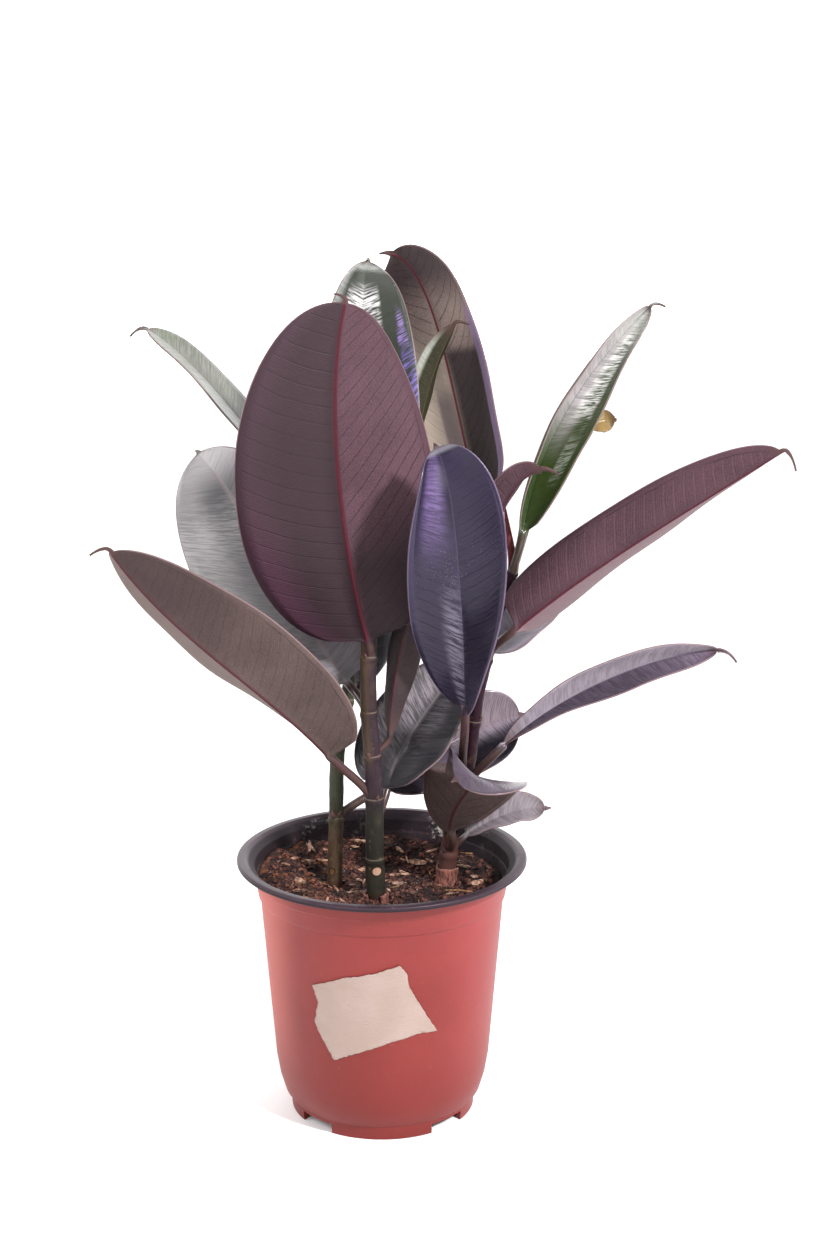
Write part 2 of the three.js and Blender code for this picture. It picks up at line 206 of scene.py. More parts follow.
# A grid wrapped into a closed tube: placeAt(column, row) gives each corner's place in millimetres
def wrapped(columns, rows, placeAt, mark=None):
    bm = bmesh.new()
    bmesh.ops.create_grid(bm, x_segments=columns, y_segments=rows, size=0.5)
    shape = bm.verts.layers.float_vector.new("shape")
    under = bm.verts.layers.float.new("under")
    for vert in bm.verts:
        column = round((vert.co.x + 0.5) * columns)
        row = round((vert.co.y + 0.5) * rows)
        vert.co = placeAt(column, row) * mm
        if mark:
            vert[shape], vert[under] = mark(column, row)
    bmesh.ops.remove_doubles(bm, verts=bm.verts, dist=closeBy)
    openEdges = [edge for edge in bm.edges if edge.is_boundary]
    bmesh.ops.holes_fill(bm, edges=openEdges, sides=0)
    bmesh.ops.recalc_face_normals(bm, faces=bm.faces)
    return bm


# What all leaves share, in millimetres. ribTaper: how much slimmer the rib gets on its way; ribMost: its
# largest share of the half width; stalkSwell: (how much thicker the stalk's foot is, over how many
# rings); stalkBow: how far its curve runs straight on at both ends; flatFrom: the share of the length in
# which the round stalk turns flat; wave: of the margin (height, how far its phase runs, half width from
# which it is full); inset: from the outline to the blade's edge; tipHalfWidth and tipEnd: of the
# drawn-out tip
leafShape = {
    "thickness": 0.8,
    "ribHeight": 1.6,
    "ribHalfWidth": 1.7,
    "ribTaper": 0.75,
    "ribMost": 0.4,
    "ribGroove": 0.25,
    "stalk": 2.5,
    "stalkSwell": (0.25, 4),
    "stalkLift": 0.4,
    "stalkBow": 0.35,
    "flatFrom": 0.03,
    "wave": (0.5, 17, 12),
    "inset": 0.3,
    "leastHalfWidth": 0.8,
    "tipHalfWidth": 1.6,
    "tipEnd": 0.4,
    "acrossHalf": 9,
    "stalkRings": 12,
    "bladeRings": 54,
    "tipRings": 8,
}

# The usual finish of a leaf; a colour or a leaf may have its own. spacing: from side vein to side vein;
# slant: how far they run forward, left and right of the rib; bow: how much they bend; veins: how strong
# they show, in a tone of their own where a leaf has veinTone
leafSkin = {
    "spacing": 6.5,
    "slant": (0.45, 0.45),
    "bow": 0.004,
    "veins": 0.5,
    "fineSpacing": 1.3,
    "shine": 0.2,
    "coatRoughness": 0.2,
    "margin": (122, 98, 100),
    "dust": (150, 146, 156),
    "narrow": (72, 50, 48),
    "stalkTones": ((58, 47, 38), (66, 42, 44)),
    "relief": (0.0009, 0.8),
    "patches": (),
}

# Colours are those of the bare surface; light and gloss add to them. gloss: coat of the upper side
leafTones = ("vein", "under", "underDeep", "upper", "upperDeep", "rib", "upperRib")
leafColours = {
    "mauve": {
        "tones": ((40, 25, 32), (74, 51, 59), (61, 41, 48), (35, 29, 35), (22, 19, 24),
                  (66, 11, 27), (74, 59, 64)),
        "sheen": (1.0, 0.93, 0.97), "gloss": 0.5},
    "brown": {
        "tones": ((42, 32, 32), (75, 61, 58), (62, 49, 48), (35, 32, 34), (24, 22, 23),
                  (62, 22, 30), (74, 64, 61)),
        "sheen": (1.0, 0.95, 0.97), "gloss": 0.5},
    "beige": {
        "tones": ((66, 52, 50), (134, 117, 111), (112, 96, 92), (44, 38, 50), (30, 26, 36),
                  (98, 22, 42), (74, 64, 61)),
        "sheen": (1.0, 0.95, 0.97), "gloss": 0.5},
    "green": {
        "tones": ((37, 35, 24), (62, 59, 42), (50, 45, 34), (60, 80, 40), (36, 50, 28),
                  (64, 45, 34), (67, 72, 54)),
        "sheen": (1.0, 0.97, 1.0), "gloss": 0.6},
    "slate": {
        "tones": ((35, 27, 30), (67, 54, 58), (53, 42, 45), (64, 64, 67), (48, 48, 51),
                  (67, 29, 37), (70, 62, 62)),
        "sheen": (1.0, 0.95, 0.98), "gloss": 0.4},
    "purple": {
        "tones": ((42, 30, 38), (93, 70, 78), (67, 50, 58), (30, 24, 40), (20, 16, 26),
                  (74, 29, 40), (53, 46, 62)),
        "sheen": (0.68, 0.56, 1.0), "shine": 0.3, "gloss": 0.25, "margin": (90, 76, 96)},
    "plum": {
        "tones": ((42, 30, 38), (93, 70, 78), (67, 50, 58), (31, 23, 36), (21, 15, 24),
                  (74, 29, 40), (56, 46, 58)),
        "sheen": (0.86, 0.74, 1.0), "shine": 0.3, "gloss": 0.25},
    "olive": {
        "tones": ((32, 30, 19), (53, 51, 34), (40, 38, 26), (45, 53, 34), (29, 35, 24),
                  (69, 61, 40), (112, 112, 94)),
        "sheen": (1.0, 1.0, 0.96), "gloss": 0.6},
    "yellow": {
        "tones": ((96, 72, 37), (160, 128, 68), (136, 106, 56), (156, 130, 70), (126, 104, 56),
                  (128, 110, 64), (136, 120, 72)),
        "sheen": (1.0, 0.98, 0.9), "gloss": 0.3},
}

# Leaves. Millimetres and degrees. root: where the stalk leaves the stem; rib: the midrib through four
# points; face: where the upper side looks at base and tip (azimuth, elevation); wide: half the greatest
# width; blunt and skew: the outline; fold: how far each half is lifted; curl: how far it bends; drip: the
# drawn-out tip; stalk: its radius. patches: painted shade, painted shadows, painted highlights and painted
# reflections, and some of the leaf's own tones, each as (side, from and to across, from and to along,
# softness, strength, how streaky, colour); across runs from -1 to 1 and along from 0 to 1, and a patch that
# goes past them has no soft end there
upper, lower = 0, 1
leaves = {
    "front_broad": {
        "root": (-7, -13, 278), "rib": ((-7, -19, 290), (-18, -26, 346), (-24, -33, 416), (-18, -38, 483)),
        "face": ((86, 10), (124, -5)), "wide": 58, "blunt": 2.1, "skew": 0.9, "fold": (6, 6), "curl": 6,
        "drip": (-6, -2, 5), "colour": "mauve", "slant": (0.8, 0.12), "spacing": 9, "veins": 0.8,
        "patches": (
            # painted shade: the left half of the underside, turned away from the key light, darkened
            (lower, 0.0, 1.2, -0.2, 1.2, 0.05, 0.85, 0, (38, 28, 31)),
            (lower, 0.66, 1.2, 0.0, 0.36, 0.25, 0.55, 0, (98, 60, 80)),
            (lower, 0.7, 1.2, 0.4, 1.2, 0.2, 0.2, 0, (74, 48, 62)),
            # painted shadow at the lower right, where front_purple casts its shadow
            (lower, -1.2, -0.02, -0.2, 0.34, 0.12, 0.75, 0, (16, 12, 14)))},
    "left_low": {
        "root": (-4, -14, 194),
        "rib": ((-29, -22, 223), (-67, -42, 266), (-109, -52, 306), (-145, -60, 351)),
        "face": ((48, 6), (52, 12)), "wide": 42, "blunt": 2, "skew": 0.75, "fold": (23, 25), "curl": 3,
        "drip": (-11, -3, -1), "colour": "brown", "veins": 0.35,
        "patches": (
            (lower, -1.2, 1.2, 0.62, 1.2, 0.25, 0.6, 0, (46, 32, 34)),
            (lower, 0.04, 1.2, -0.2, 1.2, 0.05, 0.45, 0, (112, 92, 86)))},
    "left_back": {
        "root": (-7, -15, 246), "rib": ((-20, 1, 261), (-46, 7, 301), (-77, 24, 350), (-105, 32, 389)),
        "face": ((268, 10), (244, -2)), "wide": 46, "blunt": 2, "skew": 0.96, "fold": (8, 8), "curl": 17,
        "drip": (-2, 0, 1), "colour": "slate",
        "patches": (
            # painted light: the first six patches are painted sheen and painted reflections, pale at the top
            # and in streaks, and the first of them lightens the low part that lies in shade; the last is the
            # pale midrib
            (upper, -1.2, 1.2, -0.2, 0.42, 0.2, 0.8, 0.3, (134, 127, 131)),
            (upper, -1.2, 1.2, 0.4, 0.7, 0.15, 0.5, 0.3, (112, 108, 111)),
            (upper, -1.2, 1.2, 0.9, 1.3, 0.14, 0.9, 0.12, (198, 193, 195)),
            (upper, -1.2, 0.3, 0.6, 0.78, 0.08, 0.4, 0.7, (176, 172, 174)),
            (upper, -1.2, -0.5, 0.3, 0.84, 0.2, 0.7, 0.4, (192, 186, 188)),
            (upper, -1.2, 1.2, 0.88, 1.2, 0.1, 0.4, 0, (206, 200, 202)),
            (upper, -0.04, 0.04, -0.2, 0.9, 0.03, 0.4, 0, (150, 132, 134)))},
    "left_top": {
        "root": (-25, 18, 334), "rib": ((-36, 20, 352), (-66, 34, 387), (-98, 42, 426), (-134, 46, 458)),
        "face": ((343, 14), (346, 14)), "wide": 22, "blunt": 2.4, "skew": 1, "fold": (8, 5), "curl": 5,
        "drip": (-10, 0, -4), "colour": "green",
        "patches": (
            # painted sheen: a pale streaky patch over the whole upper side; the two after it are darker
            # strips
            (upper, -1.2, 1.2, -0.2, 1.2, 0.2, 0.85, 0.6, (116, 113, 108)),
            (upper, -0.35, 0.35, -0.2, 0.8, 0.15, 0.5, 0.4, (58, 56, 52)),
            (upper, 0.1, 1.2, -0.2, 0.4, 0.15, 0.6, 0.4, (50, 51, 46)))},
    "top_centre": {
        "root": (-4, -5, 340), "rib": ((-4, 6, 350), (-7, 11, 400), (-10, 15, 456), (-7, 15, 500)),
        "face": ((288, 9), (298, 9)), "wide": 31, "blunt": 2.1, "skew": 0.93, "fold": (11, 9), "curl": 18,
        "drip": (0, -3, 1), "colour": "green",
        "patches": (
            (upper, -1.2, 1.2, -0.2, 1.2, 0.1, 0.95, 0, (42, 45, 39)),
            # painted reflections: pale at the left edge and the tip, a white star and a streak of painted
            # highlight in the upper part, and violet painted reflections at the right edge
            (upper, -1.2, -0.72, 0.4, 1.2, 0.15, 0.75, 0.3, (140, 142, 138)),
            (upper, -1.2, 1.2, 0.955, 1.2, 0.02, 0.7, 0.4, (160, 162, 158)),
            (upper, -0.55, 0.4, 0.74, 0.86, 0.05, 0.85, 1, (212, 209, 210)),
            (upper, -0.3, 0.4, 0.55, 0.76, 0.06, 0.4, 1, (180, 180, 178)),
            (upper, 0.74, 0.86, 0.71, 0.765, 0.045, 0.9, 1, (150, 122, 186)),
            (upper, 0.7, 0.9, 0.655, 0.69, 0.03, 0.9, 1, (146, 120, 190)),
            (upper, 0.74, 1.0, 0.44, 0.63, 0.04, 0.85, 1, (112, 96, 164)))},
    "top_tall": {
        "root": (69, 25, 300), "rib": ((60, 42, 357), (46, 57, 405), (30, 60, 466), (6, 50, 501)),
        "face": ((47, -18), (54, 2)), "wide": 36, "blunt": 3, "skew": 0.97, "fold": (2, 3), "curl": -36,
        "drip": (-7, -2, 0), "colour": "beige",
        "slant": (0.5, 0.3), "bow": 0.016, "spacing": 7.5, "veins": 0.75,
        "patches": (
            (lower, -1.2, -0.78, -0.2, 0.67, 0.05, 0.9, 0, (124, 106, 138)),
            # painted shadow right of the rib, in the lower half
            (lower, -0.78, -0.03, -0.2, 0.54, 0.02, 0.85, 0, (30, 22, 28)),
            (lower, -1.2, 1.2, 0.75, 1.2, 0.09, 0.8, 0, (46, 36, 42)),
            # painted light on the lower left half, and a band of painted shade beside the rib
            (lower, 0.0, 1.2, -0.2, 0.55, 0.15, 0.8, 0.15, (174, 160, 146)),
            (lower, 0.04, 0.36, -0.2, 0.42, 0.04, 0.75, 0, (98, 84, 88)))},
    "young_olive": {
        "root": (-5, -8, 320), "rib": ((17, 30, 373), (21, 34, 402), (29, 36, 433), (42, 30, 463)),
        "face": ((132, 17), (138, 14)), "wide": 13, "blunt": 2.3, "skew": 1, "fold": (22, 20), "curl": 12,
        "drip": (8, 0, 0), "colour": "olive", "stalk": 1.9,
        # painted highlight: the pale left edge
        "patches": ((lower, 0.62, 1.2, 0.3, 0.9, 0.12, 0.7, 0.2, (176, 178, 168)),)},
    "front_purple": {
        "root": (47, 26, 196), "rib": ((48, -14, 248), (46, -32, 300), (41, -42, 362), (31, -42, 405)),
        "face": ((225, 10), (300, -8)), "wide": 32, "blunt": 1.8, "skew": 1.15, "fold": (16, 18), "curl": 25,
        "drip": (-1, -4, 3), "colour": "purple",
        "patches": (
            (upper, -1.2, -0.3, -0.2, 0.6, 0.15, 0.5, 0, (20, 16, 26)),
            # a violet painted sheen at the upper left
            (upper, -0.72, -0.2, 0.66, 0.97, 0.16, 0.55, 0.6, (120, 98, 148)),
            (upper, -1.2, -0.84, 0.3, 0.94, 0.08, 0.6, 0, (34, 28, 46)),
            # a pale streaky painted reflection beside the rib, in the lower part
            (upper, -0.34, 0.0, 0.02, 0.42, 0.12, 0.45, 1, (140, 136, 150)),
            (upper, -1.2, 1.2, 0.965, 1.2, 0.012, 0.7, 0, (110, 108, 114)))},
    "small_red": {
        "root": (66, 25, 288), "rib": ((59, 4, 331), (65, -4, 354), (74, -12, 376), (89, -20, 389)),
        "face": ((140, 16), (128, 5)), "wide": 14, "blunt": 2.2, "skew": 1, "fold": (24, 22), "curl": 8,
        "drip": (10, 0, -3), "colour": "mauve", "stalk": 1.9},
    "right_green": {
        "root": (76, 22, 320), "rib": ((81, 16, 345), (98, 30, 398), (125, 34, 441), (153, 38, 472)),
        "face": ((278, -5), (302, 35)), "wide": 29, "blunt": 1.3, "skew": 0.75, "fold": (45, 43), "curl": 42,
        "drip": (9, 0, 0), "colour": "green",
        "patches": (
            (upper, 0.0, 1.2, -0.2, 0.6, 0.15, 0.9, 0, (48, 60, 24)),
            # painted reflections: the pale left half, a paler patch low on the left, the pale tip, and white
            # streaks of painted highlight
            (upper, -1.2, 0.32, 0.38, 1.2, 0.16, 0.9, 0.35, (184, 177, 180)),
            (upper, -1.2, -0.45, 0.02, 0.5, 0.12, 0.75, 0.2, (150, 142, 146)),
            (upper, -1.2, 1.2, 0.8, 1.2, 0.14, 0.8, 0.4, (186, 186, 182)),
            (upper, 0.2, 0.68, 0.46, 0.84, 0.08, 0.9, 1, (240, 240, 237)),
            (upper, 0.4, 0.75, 0.2, 0.36, 0.05, 0.3, 1, (225, 228, 220)))},
    "yellow_small": {
        "root": (76, 22, 320), "rib": ((121, 56, 400), (126, 58, 402), (131, 60, 403), (136.5, 60, 404)),
        "face": ((245, 14), (250, 14)), "wide": 7.3, "blunt": 2.2, "skew": 1, "fold": (7, 7), "curl": 7,
        "drip": (0.3, 0, 0.6), "colour": "yellow", "stalk": 1.5},
    "right_long": {
        "root": (61, 26, 267), "rib": ((77, -2, 293), (123, -6, 330), (173, -22, 368), (218, -44, 403)),
        "face": ((94, 11), (120, 14)), "wide": 26, "blunt": 2.7, "skew": 0.6, "fold": (34, 34), "curl": 21,
        "drip": (8, -1, -10), "colour": "mauve",
        "veinTone": (96, 76, 80), "veins": 0.24,
        "patches": ((lower, -1.2, -0.08, -0.2, 1.2, 0.04, 0.6, 0, (120, 98, 102)),)},
    "right_back": {
        "root": (61, 26, 267), "rib": ((61, 38, 269), (76, 51, 278), (93, 67, 288), (111, 85, 296)),
        "face": ((235, 11), (224, 12)), "wide": 25, "blunt": 2.3, "skew": 1, "fold": (14, 14), "curl": 13,
        "drip": (6, 3, 0), "colour": "plum",
        "patches": ((upper, -1.2, 1.2, -0.2, 1.2, 0.2, 0.75, 0.3, (142, 132, 144)),)},
    "right_low": {
        "root": (44, 25, 182), "rib": ((71, 14, 218), (104, 12, 245), (148, 6, 269), (193, 1, 280)),
        "face": ((230, 6), (268, 5)), "wide": 19, "blunt": 1.4, "skew": 1.4, "fold": (36, 36), "curl": 40,
        "drip": (11, -2, -7), "colour": "plum",
        "patches": (
            (upper, 0.0, 1.2, -0.2, 1.2, 0.1, 0.5, 0.5, (96, 84, 98)),
            # a lilac painted sheen on the far half
            (upper, -1.2, -0.03, -0.2, 1.2, 0.04, 0.9, 0.3, (162, 152, 162)),
            (upper, -0.06, 0.06, 0.05, 1.0, 0.03, 0.6, 0, (156, 148, 158)),
            (upper, 0.1, 1.2, 0.75, 1.2, 0.2, 0.5, 0.4, (124, 110, 126)),
            (lower, -1.2, 1.2, -0.2, 0.4, 0.1, 0.85, 0, (150, 120, 124)))},
    "centre_low": {
        "root": (-4, -14, 176), "rib": ((3, 2, 195), (14, 14, 219), (31, 20, 244), (49, 20, 270)),
        "face": ((240, 8), (248, -4)), "wide": 29, "blunt": 2, "skew": 0.72, "fold": (16, 16), "curl": 16,
        "drip": (3, 0, 6), "colour": "slate",
        "patches": (
            (upper, -1.2, 1.2, -0.2, 1.2, 0.05, 0.75, 0.1, (30, 27, 31)),
            # two streaky patches of painted sheen
            (upper, -0.9, -0.1, 0.3, 1.2, 0.15, 0.75, 0.8, (140, 130, 137)),
            (upper, 0.05, 0.5, 0.3, 0.9, 0.15, 0.25, 1, (120, 112, 118)),
            (upper, -0.05, 0.05, 0.1, 1.0, 0.03, 0.5, 0, (96, 88, 92)))},
    "low_behind": {
        "root": (-27, 7, 175), "rib": ((0, 20, 191), (27, 42, 203), (58, 58, 215), (83, 64, 222)),
        "face": ((258, 10), (253, 5)), "wide": 26, "blunt": 2.2, "skew": 1.05, "fold": (12, 12), "curl": 12,
        "drip": (5, 2, 0), "colour": "plum",
        "patches": (
            (upper, -1.2, 1.2, -0.2, 0.62, 0.2, 0.95, 0, (17, 10, 17)),
            # a lilac painted sheen towards the tip
            (upper, -1.2, 0.2, 0.45, 1.2, 0.2, 0.85, 0.4, (122, 108, 114)))},
    "narrow_mid": {
        "root": (-5, -15, 220), "rib": ((5, -10, 232), (9, -12, 269), (17, -8, 306), (28, -6, 343)),
        "face": ((78, 10), (64, 6)), "wide": 15, "blunt": 1.8, "skew": 1.2, "fold": (36, 36), "curl": 22,
        "drip": (1, 1, 6), "colour": "brown", "stalk": 2,
        "patches": ((lower, -1.2, 1.2, -0.2, 1.2, 0.2, 0.75, 0, (34, 25, 30)),)},
    "folded_front": {
        "root": (40, 24, 147), "rib": ((41, 14, 164), (46, 9, 186), (55, -4, 204), (43, -16, 207)),
        "face": ((70, 15), (285, 45)), "wide": 31, "blunt": 1.8, "skew": 1.4, "fold": (22, -10), "curl": 5,
        "drip": (-3, -2, -1), "colour": "brown",
        "patches": ((upper, -1.2, 1.2, -0.2, 1.2, 0.2, 0.85, 0.2, (82, 70, 84)),)},
    "small_right": {
        "root": (40, 24, 147), "rib": ((50, 26, 158), (65, 28, 167), (81, 31, 172), (97, 33, 173)),
        "face": ((225, 35), (240, 25)), "wide": 13, "blunt": 2.2, "skew": 1, "fold": (25, 25), "curl": 20,
        "drip": (4, 1, 0), "colour": "slate", "stalk": 1.9,
        "patches": ((upper, -1.2, 1.2, -0.2, 1.2, 0.2, 0.85, 0.4, (138, 128, 134)),)},
    "back_mid": {
        "root": (-20, 11, 246), "rib": ((-13, 24, 253), (-10, 31, 290), (-8, 38, 324), (-7, 40, 360)),
        "face": ((294, 2), (292, 2)), "wide": 22, "blunt": 2.2, "skew": 1, "fold": (18, 17), "curl": 20,
        "drip": (0, 2, 6), "colour": "slate"},
}


def throughFour(points):
    a, b, c, d = [Vector(point) for point in points]
    return a, (-5 * a + 18 * b - 9 * c + 2 * d) / 6, (2 * a - 9 * b + 18 * c - 5 * d) / 6, d


def cubic(curve, t):
    a, b, c, d = curve
    return (1 - t) ** 3 * a + 3 * (1 - t) ** 2 * t * b + 3 * (1 - t) * t * t * c + t ** 3 * d


def cubicWay(curve, t):
    a, b, c, d = curve
    way = (1 - t) ** 2 * (b - a) + 2 * (1 - t) * t * (c - b) + t * t * (d - c)
    return way.normalized()


def cubicLength(curve, steps=30):
    return sum((cubic(curve, (i + 1) / steps) - cubic(curve, i / steps)).length for i in range(steps))


def facing(azimuth, elevation):
    a, e = math.radians(azimuth), math.radians(elevation)
    return Vector((math.cos(e) * math.cos(a), math.cos(e) * math.sin(a), math.sin(e)))


def outlineWidth(t, blunt, skew):
    return math.sqrt(max(0.0, 1 - abs(2 * t ** skew - 1) ** blunt))


# Half a blade's section, a bent strip: out from the rib, up, and its slope
def halfBlade(share, width, fold, curl):
    turn = math.radians(curl) or 1e-6
    lean = math.radians(fold)
    out = width * math.sin(turn * share) / turn
    up = width * (1 - math.cos(turn * share)) / turn
    leanOut, leanUp = math.cos(lean), math.sin(lean)
    return out * leanOut - up * leanUp, out * leanUp + up * leanOut, lean + turn * share


def ease(x):
    x = min(max(x, 0.0), 1.0)
    return x * x * (3 - 2 * x)


# Stations along a leaf: where each ring lies, how wide it is, and how round (a stalk) or flat (a blade)
def leafStations(leaf):
    rib = throughFour(leaf["rib"])
    base, root = rib[0], Vector(leaf["root"])
    start, end = cubicWay(rib, 0), cubicWay(rib, 1)
    reach = (base - root).length
    leave = ((base - root).normalized() + Vector((0, 0, leafShape["stalkLift"]))).normalized()
    bow = reach * leafShape["stalkBow"]
    stalk = (root, root + leave * bow, base - start * bow, base)
    faceBase, faceTip = facing(*leaf["face"][0]), facing(*leaf["face"][1])
    drip = Vector(leaf["drip"])
    tip = rib[3]
    length = cubicLength(rib)
    stations = []
    for i in range(leafShape["stalkRings"]):
        u = i / leafShape["stalkRings"]
        stations.append((cubic(stalk, u), cubicWay(stalk, u), faceBase, 0.0, 1.0, -reach * (1 - u), 0.0))
    for i in range(leafShape["bladeRings"]):
        t = (1 - math.cos(math.pi * i / leafShape["bladeRings"])) / 2
        width = leaf["wide"] * outlineWidth(t, leaf["blunt"], leaf["skew"]) - leafShape["inset"]
        width = max(width, leafShape["leastHalfWidth"])
        face = faceBase.lerp(faceTip, t).normalized()
        roundness = 1 - ease(t / leafShape["flatFrom"])
        stations.append((cubic(rib, t), cubicWay(rib, t), face, width, roundness, length * t, t))
    bend = tip + end * drip.length * 0.5
    for i in range(leafShape["tipRings"] + 1):
        u = i / leafShape["tipRings"]
        centre = (1 - u) ** 2 * tip + 2 * (1 - u) * u * bend + u * u * (tip + drip)
        way = ((1 - u) * (bend - tip) + u * (tip + drip - bend)).normalized()
        width = leafShape["tipHalfWidth"] * (1 - u) ** 1.5 + leafShape["tipEnd"]
        stations.append((centre, way, faceTip, width, 0.0, length + drip.length * u, 1.0))
    return stations


# Columns round a leaf: share across from -1 to 1, upper 0 or lower 1, and the angle on a round stalk
def leafColumns():
    count = leafShape["acrossHalf"]
    columns = [(-1.0, 0.5, 180.0)]
    for i in range(-count, count + 1):
        columns.append((i / count, 0.0, 175 - 170 * (i + count) / (2 * count)))
    columns.append((1.0, 0.5, 0.0))
    for i in range(count, -count - 1, -1):
        columns.append((i / count, 1.0, -5 - 170 * (count - i) / (2 * count)))
    columns.append((-1.0, 0.5, -180.0))
    return columns


def ribReach(width, t):
    return min(leafShape["ribHalfWidth"] * (1 - leafShape["ribTaper"] * t), leafShape["ribMost"] * width)


def ribShare(share, width, t):
    reach = ribReach(width, t)
    return max(0.0, 1 - (abs(share) * width / reach) ** 2) if reach > 0 else 0.0


# The innermost columns gather on the rib, so that it has a round section
def spread(share, width, t):
    inner = 2 / leafShape["acrossHalf"]
    reach = ribReach(width, t) / width
    if abs(share) <= inner:
        return share / inner * reach
    rest = (abs(share) - inner) / (1 - inner)
    return math.copysign(reach + (1 - reach) * rest, share)


def leafMesh(name, leaf):
    stations = leafStations(leaf)
    columns = leafColumns()
    stalkRadius = leaf.get("stalk", leafShape["stalk"])
    swell, swellRings = leafShape["stalkSwell"]
    waveHeight, waveTurn, waveFrom = leafShape["wave"]
    waveStart = random.Random(name).uniform(0, 6.28)

    def placeAt(column, row):
        centre, way, face, width, roundness, _, t = stations[row]
        share, side, angle = columns[column]
        up = (face - way * face.dot(way)).normalized()
        aside = way.cross(up)
        turn = math.radians(angle)
        radius = stalkRadius * (1 + swell * ease(1 - row / swellRings))
        ring = centre + radius * (aside * math.cos(turn) + up * math.sin(turn))
        if roundness >= 1:
            return ring
        across = spread(share, width, t)
        left, right = leaf["fold"]
        out, rise, slope = halfBlade(abs(across), width, left if across < 0 else right, leaf["curl"])
        phase = waveStart + waveTurn * t + (2 if across < 0 else 0)
        wave = waveHeight * across * across * math.sin(phase) * ease(width / waveFrom)
        thick = leafShape["thickness"] / 2 * (1 - 2 * side)
        out -= (thick + wave) * math.sin(slope)
        rise += (thick + wave) * math.cos(slope)
        hump = ribShare(across, width, t)
        if side == lower:
            rise -= leafShape["ribHeight"] * (1 - leafShape["ribTaper"] * t) * math.sqrt(hump)
        elif side == upper:
            rise -= leafShape["ribGroove"] * hump * (1 - t)
        blade = centre + aside * math.copysign(out, across) + up * rise
        return blade.lerp(ring, roundness)

    # for the finish: millimetres across and along, half the width there, and which side
    def mark(column, row):
        _, _, _, width, _, distance, t = stations[row]
        share, side, _ = columns[column]
        across = spread(share, max(width, 1.0), t)
        return Vector((across * width, distance, width)), side

    return toMesh(wrapped(len(columns) - 1, len(stations) - 1, placeAt, mark), name)


